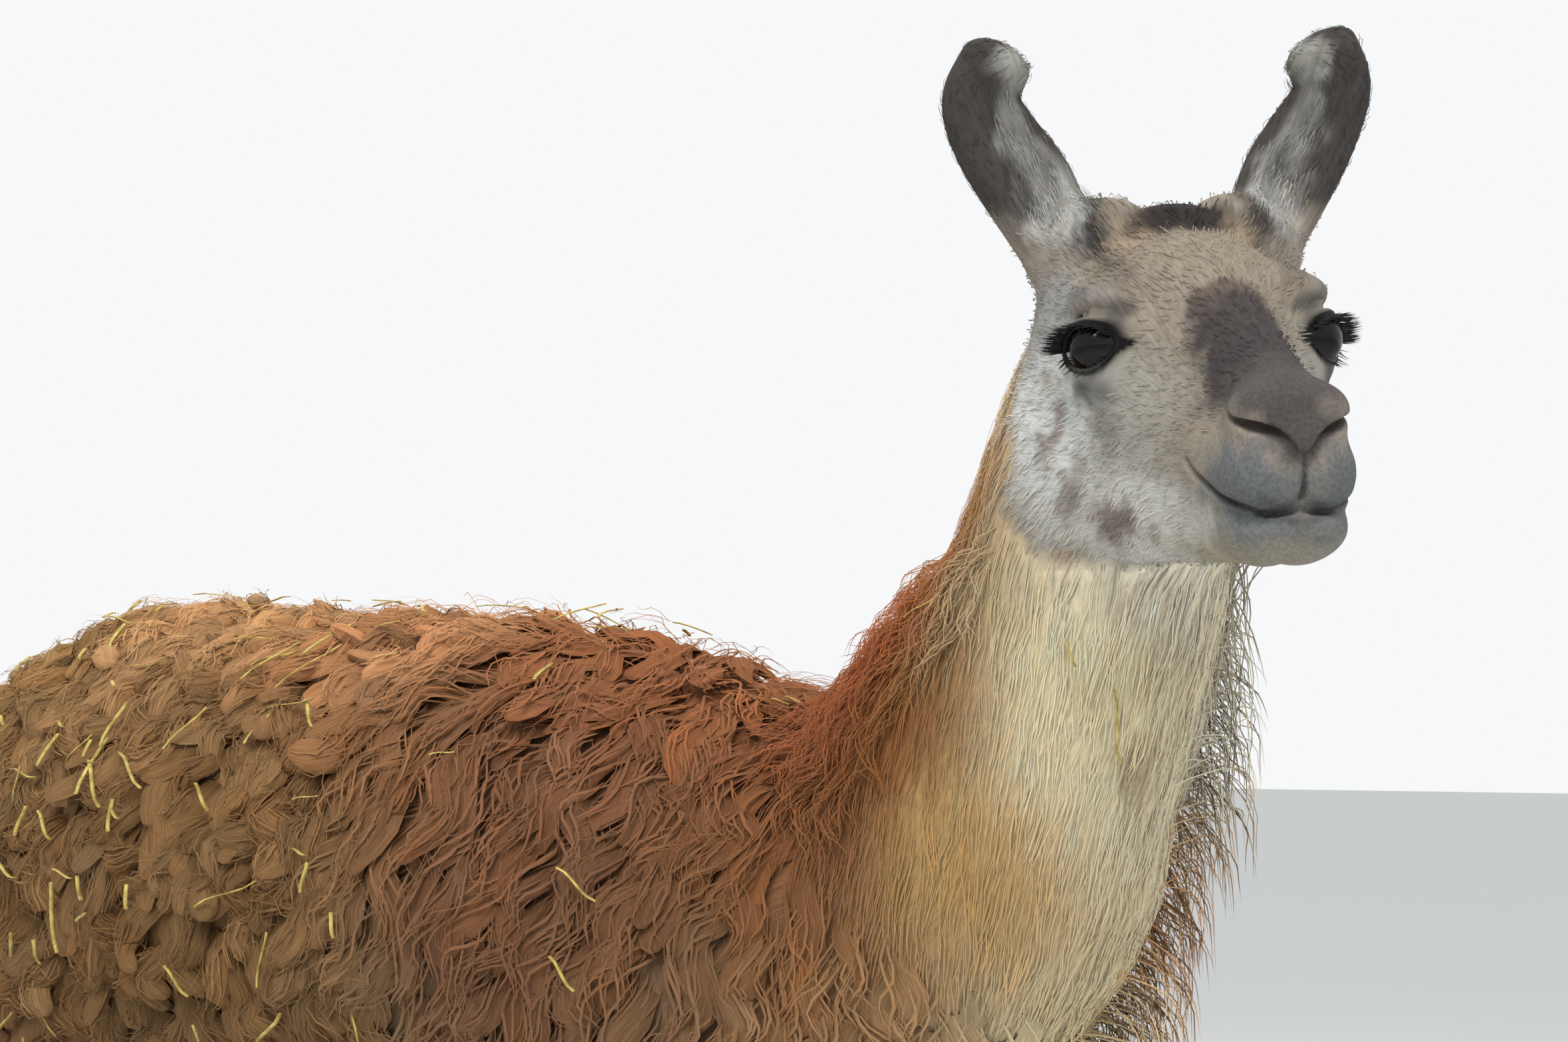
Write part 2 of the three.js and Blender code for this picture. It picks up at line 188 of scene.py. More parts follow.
LIP = [(16, -147, -87, 20, 28, 21, 1.5), (11, -147, -116, 19, 24, 13, 1.5)]
NOSTRIL_WING = [(15, -156, -53, 16, 20, 13, 1.5)]
# Grooves of the face: x, y, z, half width and half depth, and no coat.
NOSTRIL = [
    (31, -141, -52, 2.0, 0.9, 0),
    (28, -156, -57, 4.0, 1.6, 0),
    (22, -166, -60, 8.0, 3.0, 0),
    (15, -173, -63, 6.0, 2.6, 0),
    (9, -178, -69, 2.5, 1.2, 0),
    (3, -181, -78, 2.5, 1.1, 0),
]
MOUTH = [
    (41, -103, -78, 2.0, 1.2, 0),
    (40, -112, -84, 3.0, 1.5, 0),
    (36, -134, -93, 4.5, 1.6, 0),
    (29, -160, -102, 5.0, 1.7, 0),
    (17, -167, -106, 5.0, 1.7, 0),
    (0, -174, -101, 5.0, 1.7, 0),
]
LIP_CLEFT = [(0, -183, -77, 1.3, 4.5, 0), (0, -182, -90, 1.4, 5.5, 0), (0, -175, -101, 1.8, 6, 0)]
CHEEK_FOLD = [(33, -121, -46, 2, 2, 0), (38, -117, -62, 2.6, 3.2, 0), (40, -116, -76, 2, 2, 0)]
SOCKET_EDGE = 0.0082  # how far past the opening the skin ends, under the lids


def smooth_row(rows, samples):
    """Rows of numbers on the smooth curve through the given rows."""
    rows = np.array(rows, float)
    rows = np.vstack([2 * rows[0] - rows[1], rows, 2 * rows[-1] - rows[-2]])
    t = (np.arange(samples) / samples)[:, None]
    parts = []
    for a, b, c, d in zip(rows, rows[1:], rows[2:], rows[3:]):
        parts.append(b + (c - a) * t / 2 + (a - 2.5 * b + 2 * c - d / 2) * t**2
                     + (1.5 * b - a / 2 - 1.5 * c + d / 2) * t**3)
    return np.vstack([*parts, rows[-2]])


def ellipsoid(x, y, z, a, b, c):
    """Signed distance, nearly, from an ellipsoid with half axes a, b and c."""
    near = np.sqrt((x / a) ** 2 + (y / b) ** 2 + (z / c) ** 2)
    slope = np.sqrt((x / a**2) ** 2 + (y / b**2) ** 2 + (z / c**2) ** 2)
    return near * (near - 1) / np.maximum(slope, 1e-9)


class Limb:
    """A row of elliptical bars through its stations. Called on points, it gives their signed distance."""

    def __init__(self, stations, bare, samples=4):
        rows = smooth_row(np.array(stations) / 1000, samples)
        self.centre = rows[:, :3]
        self.wide = rows[:, 3] - bare * rows[:, 5]
        self.deep = rows[:, 4] - bare * rows[:, 5]
        step = np.diff(self.centre, axis=0)
        self.length = np.linalg.norm(step, axis=1)
        self.along = step / self.length[:, None]
        side = np.array([1.0, 0, 0]) - self.along * self.along[:, :1]
        self.side = side / np.linalg.norm(side, axis=1)[:, None]
        self.out = np.cross(self.along, self.side)

    def bar(self, i, points):
        offset = points - self.centre[i]
        reach = offset @ self.along[i]
        t = np.clip(reach / self.length[i], 0, 1)
        wide = self.wide[i] + (self.wide[i + 1] - self.wide[i]) * t
        deep = self.deep[i] + (self.deep[i + 1] - self.deep[i]) * t
        short = np.minimum(wide, deep)
        return ellipsoid(offset @ self.side[i], offset @ self.out[i], reach - t * self.length[i], wide,
                         deep, short)

    def __call__(self, points):
        middle = (points.min(axis=0) + points.max(axis=0)) / 2
        spread = np.linalg.norm(points.max(axis=0) - middle)
        away = np.linalg.norm(middle - self.centre, axis=1)
        away = np.minimum(away[1:], away[:-1])
        thick = np.maximum(self.wide, self.deep)
        thin = np.minimum(self.wide, self.deep)
        near = away - np.maximum(thick[1:], thick[:-1]) - self.length / 2 - spread
        far = away - np.minimum(thin[1:], thin[:-1]) + spread
        nearest = np.full(len(points), np.inf)
        for i in np.flatnonzero(near <= far.min() + 0.02):
            nearest = np.minimum(nearest, self.bar(i, points))
        return nearest

    def locate(self, points):
        """How far along the limb each point is, from 0 to 1, and its offset to the side and outwards."""
        best = np.full(len(points), np.inf)
        place = np.zeros((len(points), 3))
        for i, length in enumerate(self.length):
            offset = points - self.centre[i]
            reach = np.clip(offset @ self.along[i], 0, length)
            away = np.linalg.norm(offset - reach[:, None] * self.along[i], axis=1)
            closer = away < best
            best[closer] = away[closer]
            here = np.stack([(i + reach / length) / len(self.length), offset @ self.side[i],
                             offset @ self.out[i]], axis=1)
            place[closer] = here[closer]
        return place.T


def lumps(rows, bare):
    """Ellipsoids given as x, y, z, half width, half length, half height and coat."""

    def field(points):
        each = []
        for x, y, z, a, b, c, coat in np.array(rows) / 1000:
            offset = (points - (x, y, z)).T
            each.append(ellipsoid(*offset, a - bare * coat, b - bare * coat, c - bare * coat))
        return np.min(each, axis=0)

    return field


def blend(size, *fields):
    """Joins fields with a fillet of about the given size in millimetres."""

    def field(points):
        whole = fields[0](points)
        for other in fields[1:]:
            more = other(points)
            h = np.maximum(size / 1000 - np.abs(whole - more), 0)
            whole = np.minimum(whole, more) - h * h / (size / 250)
        return whole

    return field


def carve(size, field, *tools):
    """Cuts fields out of another, with an edge rounded to about the given size in millimetres."""
    hollow = blend(size, lambda points: -field(points), *tools)
    return lambda points: -hollow(points)


def mirrored(field):
    return lambda points: field(np.column_stack([np.abs(points[:, 0]), points[:, 1:]]))


def to_head(points):
    """Points in the head's own frame: x to its left, -y towards the nose, z up, midway between the eyes."""
    return (points - np.array(HEAD_AT)) @ np.array(turned)


def from_head(points):
    return points @ np.array(turned).T + np.array(HEAD_AT)


def on_head(field):
    return lambda points: field(to_head(points))


def toes(leg):
    x, y = leg[-1][:2]
    pads = []
    for side in (-1, 1):
        pads.append([
            (x + side * TOE_APART * 0.7, y + 6, 50, 21, 25, 4),
            (x + side * TOE_APART, y - 18, 21, 21, 28, 3),
            (x + side * TOE_APART, y - 62, 9, 19, 20, 3),
        ])
    return pads


def animal(bare):
    """Fields of the body, of neck with head, of the ears and of each pair of legs: bare is 0 for the
    coat's outline and 1 for the skin."""
    legs = []
    for leg in (FRONT_LEG, HIND_LEG):
        pads = [Limb(pad, bare) for pad in toes(leg)]
        legs.append(mirrored(blend(14, Limb(leg, bare), blend(4, *pads))))
    neck = Limb(NECK, bare) if bare else blend(20, Limb(NECK, 0), Limb(FRINGE, 0))
    body = blend(24, blend(60, Limb(TRUNK, bare), *legs, Limb(TAIL, bare)), neck)
    muzzle = blend(16, Limb(WEDGE, bare), mirrored(lumps(LIP, bare)), mirrored(lumps(NOSTRIL_WING, bare)))
    head = blend(
        30, blend(24, muzzle, mirrored(Limb(CHEEK, bare))), mirrored(Limb(JAW, bare)),
        mirrored(lumps(BROW, bare)), mirrored(lumps(EAR_ROOT, bare)), mirrored(lumps(POLL, bare)))
    head = on_head(head)
    front = blend(30 - 14 * bare, neck, head)
    return blend(30, body, head), front, on_head(mirrored(Limb(EAR, bare))), legs


skin_field, front_field, ear_field, leg_fields = animal(1)
ears = carve(5, ear_field, on_head(mirrored(Limb(EAR_HOLLOW, 0))))
creases = [mirrored(Limb(NOSTRIL, 0)), mirrored(Limb(MOUTH, 0)), Limb(LIP_CLEFT, 0),
           mirrored(Limb(CHEEK_FOLD, 0))]
whole_face = carve(3, blend(14, front_field, ears), *[on_head(crease) for crease in creases])


def eye_axes(side):
    """Axes of an eye in the head's frame: towards the back corner, up, and along the gaze."""
    gaze = np.array(GAZE) * (side, 1, 1)
    back = np.cross(gaze, (0, 0, 1)) * -side
    back /= np.linalg.norm(back)
    up = np.cross(gaze, back) * side
    up /= np.linalg.norm(up)
    return back, up if up[2] > 0 else -up, gaze


def socket_room(points):
    """Room in front of the left eye, a little wider than the opening between the lids."""
    back, up, gaze = eye_axes(1)
    away = points - np.array(EYE_SEAT)
    front, back_way, up_way = away @ gaze, away @ back, away @ up
    off = np.hypot(back_way, up_way) + 1e-6
    opening = off / np.hypot(back_way / RIM[0], up_way / np.where(up_way > 0, RIM[1], RIM[2]))
    limit = (opening + SOCKET_EDGE) / (EYE_RADIUS + 0.001)
    reach = np.hypot(off, front)
    beside = (np.arctan2(off, front) - limit) * reach
    return np.max([beside, EYE_RADIUS * 0.8 - reach, reach - EYE_RADIUS - 0.016], axis=0)


eyeball = lumps([(*(EYE_SEAT * 1000), *[EYE_RADIUS * 1000 + 0.3] * 3, 0)], 0)
head_field = carve(2, whole_face, on_head(mirrored(eyeball)), on_head(mirrored(socket_room)))

# ---------- Skin ----------
# One bare hide for head, ears, neck, trunk, tail and legs, thin and close over the muscle. It lies
# under the coat by the coat's depth, and shows only on the lips, the nostrils and round the eyes.

SKIN_STEP = 0.0105  # grid of the trunk and legs
FACE_STEP = 0.0024  # grid of the head
MUZZLE_STEP = 0.0013
FOOT_STEP = 0.0045
MUZZLE_LINE = -0.088  # y in the head's frame, ahead of which the finer grid begins
MUZZLE_BOX = ((-0.062, -0.205, -0.150), (0.062, -0.080, 0.020))
THROAT = (np.array((-0.092, -0.520, 1.262)), np.array((-0.55, -0.50, 0.67)))
FETLOCK_HEIGHT = 0.135


def by_region(field, points, size=0.12):
    """A field's values, worked out region by region, so that far parts can be left out."""
    keys = np.floor(points / size).astype(int) @ (1, 1000, 1000000)
    order = np.argsort(keys, kind="stable")
    values = np.empty(len(points))
    for some in np.split(order, np.flatnonzero(np.diff(keys[order])) + 1):
        values[some] = field(points[some])
    return values


def surface(field, low, high, step, block=6):
    """Corners and four-sided faces of the sheet where the field is zero, on a grid of the given step."""
    low = np.array(low, float)
    blocks = np.ceil((np.array(high) - low) / (step * block)).astype(int)
    which = np.indices(blocks).reshape(3, -1).T
    corner = low + which * step * block
    middle = field(corner + step * (block - 1) / 2)
    near = np.abs(middle) < step * block * 1.3
    count = blocks * block
    values = np.repeat(np.repeat(np.repeat(middle.reshape(blocks), block, 0), block, 1), block, 2)
    inner = np.indices((block,) * 3).reshape(3, -1).T * step
    ordinal = np.indices((block,) * 3).reshape(3, -1).T
    points = (corner[near][:, None] + inner).reshape(-1, 3)
    where = (which[near][:, None] * block + ordinal).reshape(-1, 3)
    values[tuple(where.T)] = by_region(field, points)
    least = step * 0.04
    values = np.where(np.abs(values) < least, np.where(values < 0, -least, least), values)
    inside = values < 0
    cells, spots, rings, turns = [], [], [], []
    stride = np.array([count[1] * count[2], count[2], 1])
    for axis in range(3):
        first = tuple(slice(0, -1) if i == axis else slice(1, None) for i in range(3))
        second = tuple(slice(1, None) for i in range(3))
        at = np.argwhere(inside[first] != inside[second])
        at += [0 if i == axis else 1 for i in range(3)]
        after = at.copy()
        after[:, axis] += 1
        here, there = values[tuple(at.T)], values[tuple(after.T)]
        spot = at.astype(float)
        spot[:, axis] += here / (here - there)
        u, v = (axis + 1) % 3, (axis + 2) % 3
        ring = []
        for du, dv in ((0, 0), (1, 0), (1, 1), (0, 1)):
            cell = at @ stride - du * stride[u] - dv * stride[v]
            ring.append(cell)
            cells.append(cell)
            spots.append(spot)
        rings.append(np.stack(ring, axis=1))
        turns.append(here < 0)
    ids, back = np.unique(np.concatenate(cells), return_inverse=True)
    share = np.bincount(back)
    spots = np.concatenate(spots)
    corners = np.stack([np.bincount(back, spots[:, i]) / share for i in range(3)], axis=1) * step + low
    faces = np.searchsorted(ids, np.concatenate(rings))
    flip = np.concatenate(turns)
    faces[~flip] = faces[~flip][:, ::-1]
    return corners, faces


def sheet_mesh(corners, faces, cuts):
    """A bmesh of a sheet, kept on the far side of each cut, given as a point and a normal."""
    mesh = bpy.data.meshes.new("sheet")
    mesh.from_pydata(corners, [], faces.tolist())
    part = bmesh.new()
    part.from_mesh(mesh)
    bpy.data.meshes.remove(mesh)
    for point, normal in cuts:
        everything = part.verts[:] + part.edges[:] + part.faces[:]
        bmesh.ops.bisect_plane(part, geom=everything, plane_co=Vector(point), plane_no=Vector(normal),
                               clear_inner=True)
    return part


def joined(name, parts):
    """One object from several bmeshes whose open rims face each other across a thin gap."""
    whole = bmesh.new()
    for part in parts:
        mesh = bpy.data.meshes.new("part")
        part.to_mesh(mesh)
        whole.from_mesh(mesh)
        bpy.data.meshes.remove(mesh)
        part.free()
    left = {edge: True for edge in whole.edges if edge.is_boundary}  # in order, so that each run is alike
    groups = []
    while left:
        group, front = [], [left.popitem()[0]]
        while front:
            edge = front.pop()
            group.append(edge)
            for vert in edge.verts:
                for other in vert.link_edges:
                    if other in left:
                        del left[other]
                        front.append(other)
        groups.append(group)
    middles = [sum((e.verts[0].co for e in group), Vector()) / len(group) for group in groups]
    while groups:
        group, middle = groups.pop(), middles.pop()
        if not groups:
            break
        mate = min(range(len(groups)), key=lambda i: (middles[i] - middle).length)
        bmesh.ops.bridge_loops(whole, edges=group + groups.pop(mate))
        middles.pop(mate)
    bmesh.ops.recalc_face_normals(whole, faces=whole.faces[:])
    mesh = bpy.data.meshes.new(name)
    whole.to_mesh(mesh)
    whole.free()
    piece = bpy.data.objects.new(name, mesh)
    bpy.context.scene.collection.objects.link(piece)
    return piece


throat_point, throat_normal = THROAT
RIM_GAP = 0.002
body_cuts = [(throat_point - throat_normal * RIM_GAP, -throat_normal),
             ((0, 0, FETLOCK_HEIGHT + RIM_GAP), (0, 0, 1))]
muzzle_point, muzzle_normal = from_head(np.array((0, MUZZLE_LINE, 0))), np.array(turned) @ (0, 1, 0)
muzzle_corners = from_head(np.array([[box[i] for box, i in zip(zip(*MUZZLE_BOX), pick)]
                                     for pick in np.ndindex(2, 2, 2)]))
parts = [
    sheet_mesh(*surface(skin_field, (-0.30, -0.60, 0.10), (0.30, 1.0, 1.42), SKIN_STEP), body_cuts),
    sheet_mesh(*surface(head_field, (-0.36, -0.80, 1.09), (0.04, -0.40, 1.54), FACE_STEP),
               [(throat_point + throat_normal * RIM_GAP, throat_normal),
                (muzzle_point + muzzle_normal * 0.001, muzzle_normal)]),
    sheet_mesh(*surface(head_field, muzzle_corners.min(axis=0), muzzle_corners.max(axis=0), MUZZLE_STEP),
               [(muzzle_point, -muzzle_normal)]),
]
for leg, field in zip((FRONT_LEG, HIND_LEG), leg_fields):
    x, y = leg[-1][0] / 1000, leg[-1][1] / 1000
    for side in (-1, 1):
        low = (side * x - 0.07, y - 0.11, -0.02)
        high = (side * x + 0.07, y + 0.09, FETLOCK_HEIGHT + 0.02)
        parts.append(sheet_mesh(*surface(field, low, high, FOOT_STEP),
                                [((0, 0, FETLOCK_HEIGHT), (0, 0, -1))]))
skin = joined("skin", parts)
for vert in skin.data.vertices:
    vert.co.z = max(vert.co.z, 0.0)  # flat soles, all on the floor

# ---------- Colour of the coat ----------
# The coat grows in patches: tan curls on the barrel, rust on shoulder and mane, cream down the
# throat, and a pale grey face with a dark bridge, poll and ears. Skin and every tuft take the colour here.

FLEECE = [  # place of a patch's middle, its reach and its colour; left and right are alike
    ((200, 300, 1000), 150, "896845"),  # barrel
    ((210, 480, 1010), 150, "8d6c49"),
    ((150, 620, 1080), 120, "9d794f"),
    ((60, 180, 1150), 90, "bc875e"),  # back
    ((60, 420, 1170), 110, "bf9367"),
    ((90, 780, 1000), 150, "99764d"),  # rump
    ((230, 300, 840), 130, "7f603e"),
    ((120, 250, 680), 170, "7a5f42"),  # belly
    ((150, 600, 780), 130, "856544"),  # thigh
    ((60, -70, 1130), 80, "986342"),  # withers
    ((170, -60, 1040), 90, "7e573f"),  # shoulder
    ((200, -120, 930), 100, "78543c"),
    ((190, 60, 1080), 80, "896243"),
    ((180, -190, 820), 110, "7b6147"),
    ((130, -260, 980), 70, "875939"),  # chest
    ((140, -330, 870), 80, "98704b"),
    ((40, -420, 860), 90, "e0cda4"),
    ((100, -250, 1080), 50, "9c5d3d"),  # foot of the mane
    ((60, -290, 1120), 50, "9c5938"),  # mane
    ((70, -350, 1190), 45, "9e633e"),
    ((60, -400, 1230), 45, "a8794f"),
    ((90, -440, 1290), 50, "c8af83"),
    ((150, -330, 1060), 45, "86552f"),
    ((160, -400, 1090), 45, "8f653b"),  # side of the neck
    ((150, -440, 1180), 50, "b79f78"),
    ((120, -400, 950), 60, "b8945f"),
    ((120, -500, 1080), 60, "dccfa8"),  # throat
    ((40, -540, 1000), 90, "e8dbb8"),
    ((100, -540, 1190), 60, "f7f2de"),
    ((110, -100, 500), 90, "9b7c56"),  # front leg
    ((110, -100, 250), 130, "a58a67"),
    ((120, 640, 560), 90, "a07e57"),  # hind leg
    ((118, 700, 300), 150, "a58a67"),
    ((118, 100, 40), 500, "8a745a"),
    ((0, 920, 850), 90, "a9804f"),  # tail
]
ONE_SIDED = [  # and markings on one side only: middle, half sizes, softness, strength and colour
    ((-87, -500, 1031), (16, 26, 14), 0.4, 0.6, "94795a"),
    ((30, -520, 1100), (60, 50, 70), 0.7, 0.8, "f4ecd8"),
    ((95, -470, 940), (60, 90, 110), 0.6, 0.85, "e0a674"),
]
FACE_BASE = "a89d8e"
# painted shade: the face's colours, but not the ears', are darkened by this much, for a face lit from
# behind
FACE_SHADE = 0.74
MARKINGS = [  # head markings: middle, half sizes, softness, strength and colour, one over another
    ((0, 10, 30), (60, 60, 40), 0.5, 0.9, "a39583"),  # forehead
    ((70, 20, -60), (45, 90, 50), 0.5, 0.9, "bdbbb1"),  # cheek
    ((55, -50, -55), (30, 40, 40), 0.5, 0.7, "b3ada2"),
    ((50, -40, -115), (40, 90, 30), 0.5, 0.95, "e8e7de"),  # jaw
    ((88, 40, -60), (30, 50, 60), 0.5, 0.9, "e6e7e2"),
    ((88, 45, 15), (22, 35, 28), 0.6, 0.8, "a9abab"),  # temple
    ((30, 52, 52), (20, 26, 20), 0.4, 0.7, "bda68b"),
    ((0, 46, 74), (36, 26, 20), 0.35, 0.97, "322c2b"),  # poll
    ((0, -64, 8), (21, 20, 30), 0.4, 0.85, "62564f"),  # bridge
    ((0, -92, -10), (31, 34, 28), 0.3, 1.0, "514a49"),
    ((0, -118, -28), (42, 33, 28), 0.3, 1.0, "4f4948"),
    ((0, -150, -42), (38, 36, 23), 0.3, 0.95, "5b5553"),
    ((0, -172, -58), (19, 26, 22), 0.35, 0.95, "565150"),
    ((20, -152, -90), (29, 38, 21), 0.3, 0.92, "74787b"),  # lips
    ((12, -158, -112), (28, 26, 12), 0.4, 0.8, "7b8081"),
    ((10, -155, -104), (30, 26, 4), 0.5, 0.8, "5e6063"),
    ((12, -146, -126), (24, 30, 8), 0.5, 0.8, "9b998c"),  # chin
    ((10, -95, -128), (30, 45, 10), 0.5, 0.5, "a2976b"),
    ((58, -22, 8), (12, 15, 9), 0.5, 0.8, "5f5b59"),  # dark hair over the eye
    ((74, 4, 20), (20, 26, 8), 0.6, 0.6, "77777a"),
    ((64, -30, -6), (9, 12, 9), 0.5, 0.7, "6b6764"),
    ((74, -6, -37), (12, 17, 12), 0.5, 0.85, "5a5a5b"),  # and under it
    ((64, -18, -58), (6, 12, 22), 0.7, 0.5, "84827d"),
    ((62, -18, -116), (12, 26, 14), 0.4, 0.85, "7d6c60"),  # patches along the jaw
    ((80, 8, -98), (7, 14, 19), 0.45, 0.8, "83756a"),
    ((94, 26, -62), (9, 8, 23), 0.45, 0.75, "8a7c6e"),
    ((90, 36, -30), (7, 6, 10), 0.35, 0.6, "a39c8f"),
    ((45, -52, -122), (8, 9, 10), 0.5, 0.6, "a4957a"),
    ((66, 30, -150), (24, 20, 12), 0.5, 0.5, "c08a4f"),
]
EAR_MARKINGS = [
    ((72, 78, 78), (19, 24, 36), 0.4, 0.95, "aaa9a4"),  # white lining
    ((88, 78, 112), (15, 22, 30), 0.4, 0.85, "9c9b96"),
    ((98, 80, 138), (9, 18, 22), 0.5, 0.6, "9c9c99"),
    ((94, 80, 174), (17, 18, 18), 0.4, 0.8, "a1a099"),  # pale tip
    ((70, 84, 60), (7, 12, 14), 0.5, 0.7, "5a5856"),
]


def linear(code):
    """Linear red, green and blue of a colour written as six hexadecimal digits."""
    value = np.array([int(code[i : i + 2], 16) for i in (0, 2, 4)]) / 255
    return np.where(value < 0.04045, value / 12.92, ((value + 0.055) / 1.055) ** 2.4)


def ramp(value, low=0.0, high=1.0):
    t = np.clip((value - low) / (high - low), 0, 1)
    return t * t * (3 - 2 * t)


def ripple(points, size, seed):
    """Smooth noise between about -1 and 1, with waves about the given size in metres."""
    random = np.random.default_rng(seed)
    waves = random.normal(size=(9, 3)) * 2.5 / size
    shifts = random.uniform(0, 7, 9)
    return np.sin(points @ waves.T + shifts).sum(axis=1) / 3


def painted(colour, points, markings):
    for centre, sizes, soft, strength, code in markings:
        away = np.linalg.norm((points - np.array(centre) / 1000) / (np.array(sizes) / 1000), axis=1)
        cover = ramp((1 + soft - away) / (2 * soft)) * strength
        colour = colour + (linear(code) - colour) * cover[:, None]
    return colour


def near_head(points):
    """1 on the head, 0 on the neck, with a ragged edge along the jaw and behind the ears."""
    at = to_head(points)
    heights = (-0.150, -0.140, -0.118, -0.085, -0.055, -0.02, 0.02, 0.045)
    jaw_edge = np.interp(at[:, 2], heights, (-0.02, 0.022, 0.044, 0.056, 0.066, 0.082, 0.105, 0.145))
    ahead = jaw_edge - at[:, 1] + 0.005 * ripple(points, 0.025, 5)
    over = at[:, 2] + 0.150 + 0.1 * np.minimum(at[:, 1] + 0.05, 0)
    return ramp(ahead, -0.005, 0.006) * ramp(over, -0.004, 0.004) * (np.abs(at[:, 0]) < 0.2)


def coat_colour(points):
    """Linear colour of the coat at points in the animal's own place."""
    even = np.column_stack([np.abs(points[:, 0]), points[:, 1:]])
    shares = np.zeros(len(points)) + 1e-12
    body = np.zeros((len(points), 3))
    wobble = 0.10 * ripple(points, 0.06, 1)
    neck_turn = np.clip((points[:, 2] - 0.95) / 0.35, 0, 1) * 0.08  # the neck leans to the right
    even[:, 0] = np.abs(points[:, 0] + neck_turn)
    for centre, reach, code in FLEECE:
        away = np.linalg.norm(even - np.array(centre) / 1000, axis=1) / (reach / 1000)
        share = np.exp(-((away + wobble) ** 2) * 1.2) + 1e-5 / (0.1 + away**4)
        shares += share
        body += share[:, None] * linear(code)
    body /= shares[:, None]
    body = painted(body, points, ONE_SIDED)
    at = to_head(points)
    ragged = at + 0.004 * np.stack([ripple(at, 0.02, seed) for seed in (2, 3, 4)], axis=1)
    ragged[:, 0] = np.abs(ragged[:, 0])
    face = painted(np.tile(linear(FACE_BASE), (len(points), 1)), ragged, MARKINGS)
    ear = painted(np.tile(linear("433f3c"), (len(points), 1)), ragged, EAR_MARKINGS)
    on_ear = ramp(ragged[:, 2] - 0.25 * (ragged[:, 1] - 0.09) - 0.35 * (ragged[:, 0] - 0.066), 0.045, 0.075)
    on_ear *= ramp(ragged[:, 0], 0.035, 0.055) * ramp(0.140 - ragged[:, 1], 0.0, 0.015)
    # Painted shade over the whole face, for a face lit from behind; the ears are painted after it and keep
    # their colour.
    face *= FACE_SHADE
    face += (ear - face) * on_ear[:, None]
    # Painted shade: near black inside the nostrils, along the mouth and in the cleft of the lip.
    groove = np.min([crease(at) for crease in creases[:3]], axis=0)
    face += (linear("2b2523") - face) * (0.9 * ramp(-groove, -0.0008, 0.0010))[:, None]
    return body + (face - body) * near_head(points)[:, None]


def give_colour(mesh, name, values):
    """Stores one linear colour for each point of a mesh."""
    layer = mesh.attributes.new(name, "FLOAT_COLOR", "POINT")
    colours = np.column_stack([values, np.ones(len(values))]).astype(np.float32)
    layer.data.foreach_set("color", colours.ravel())


def vertices(mesh):
    out = np.empty(len(mesh.vertices) * 3, np.float32)
    mesh.vertices.foreach_get("co", out)
    return out.reshape(-1, 3).astype(float)


def follow(points):
    """Where a point lies across and along the way the coat runs, in metres, and a zero."""
    at = to_head(points)
    on = near_head(points) > 0.5
    neck_way, neck_side, neck_out = NECK_LINE.locate(points)
    across = np.arctan2(neck_side, neck_out) * 0.11
    along = neck_way * 0.45
    trunk = points[:, 1] > -0.20 - 0.5 * (points[:, 2] - 0.9)
    across = np.where(trunk, points[:, 1], across)
    along = np.where(trunk, np.arctan2(np.abs(points[:, 0]), points[:, 2] - 0.9) * 0.24, along)
    low = points[:, 2] < 0.62
    across = np.where(low, np.arctan2(points[:, 0] - 0.117 * np.sign(points[:, 0]), 0.02) * 0.05, across)
    along = np.where(low, points[:, 2], along)
    across = np.where(on, np.arctan2(at[:, 0], at[:, 2] + 0.09) * 0.08, across)
    along = np.where(on, at[:, 1], along)
    return np.column_stack([across, along, np.zeros(len(points))])


NECK_LINE = Limb(NECK, 1)


class Socket:
    """An output of a material's nodes, with arithmetic on plain numbers or other sockets."""

    def __init__(self, material, link):
        self.material, self.link = material, link

    def maths(self, operation, *values):
        return self.material.add("ShaderNodeMath", {"operation": operation}, dict(enumerate(values)))

    def __add__(self, other):
        return self.maths("ADD", self, other)

    def __sub__(self, other):
        return self.maths("SUBTRACT", self, other)

    def __rsub__(self, other):
        return self.maths("SUBTRACT", other, self)

    def __mul__(self, other):
        return self.maths("MULTIPLY", self, other)

    __radd__ = __add__
    __rmul__ = __mul__


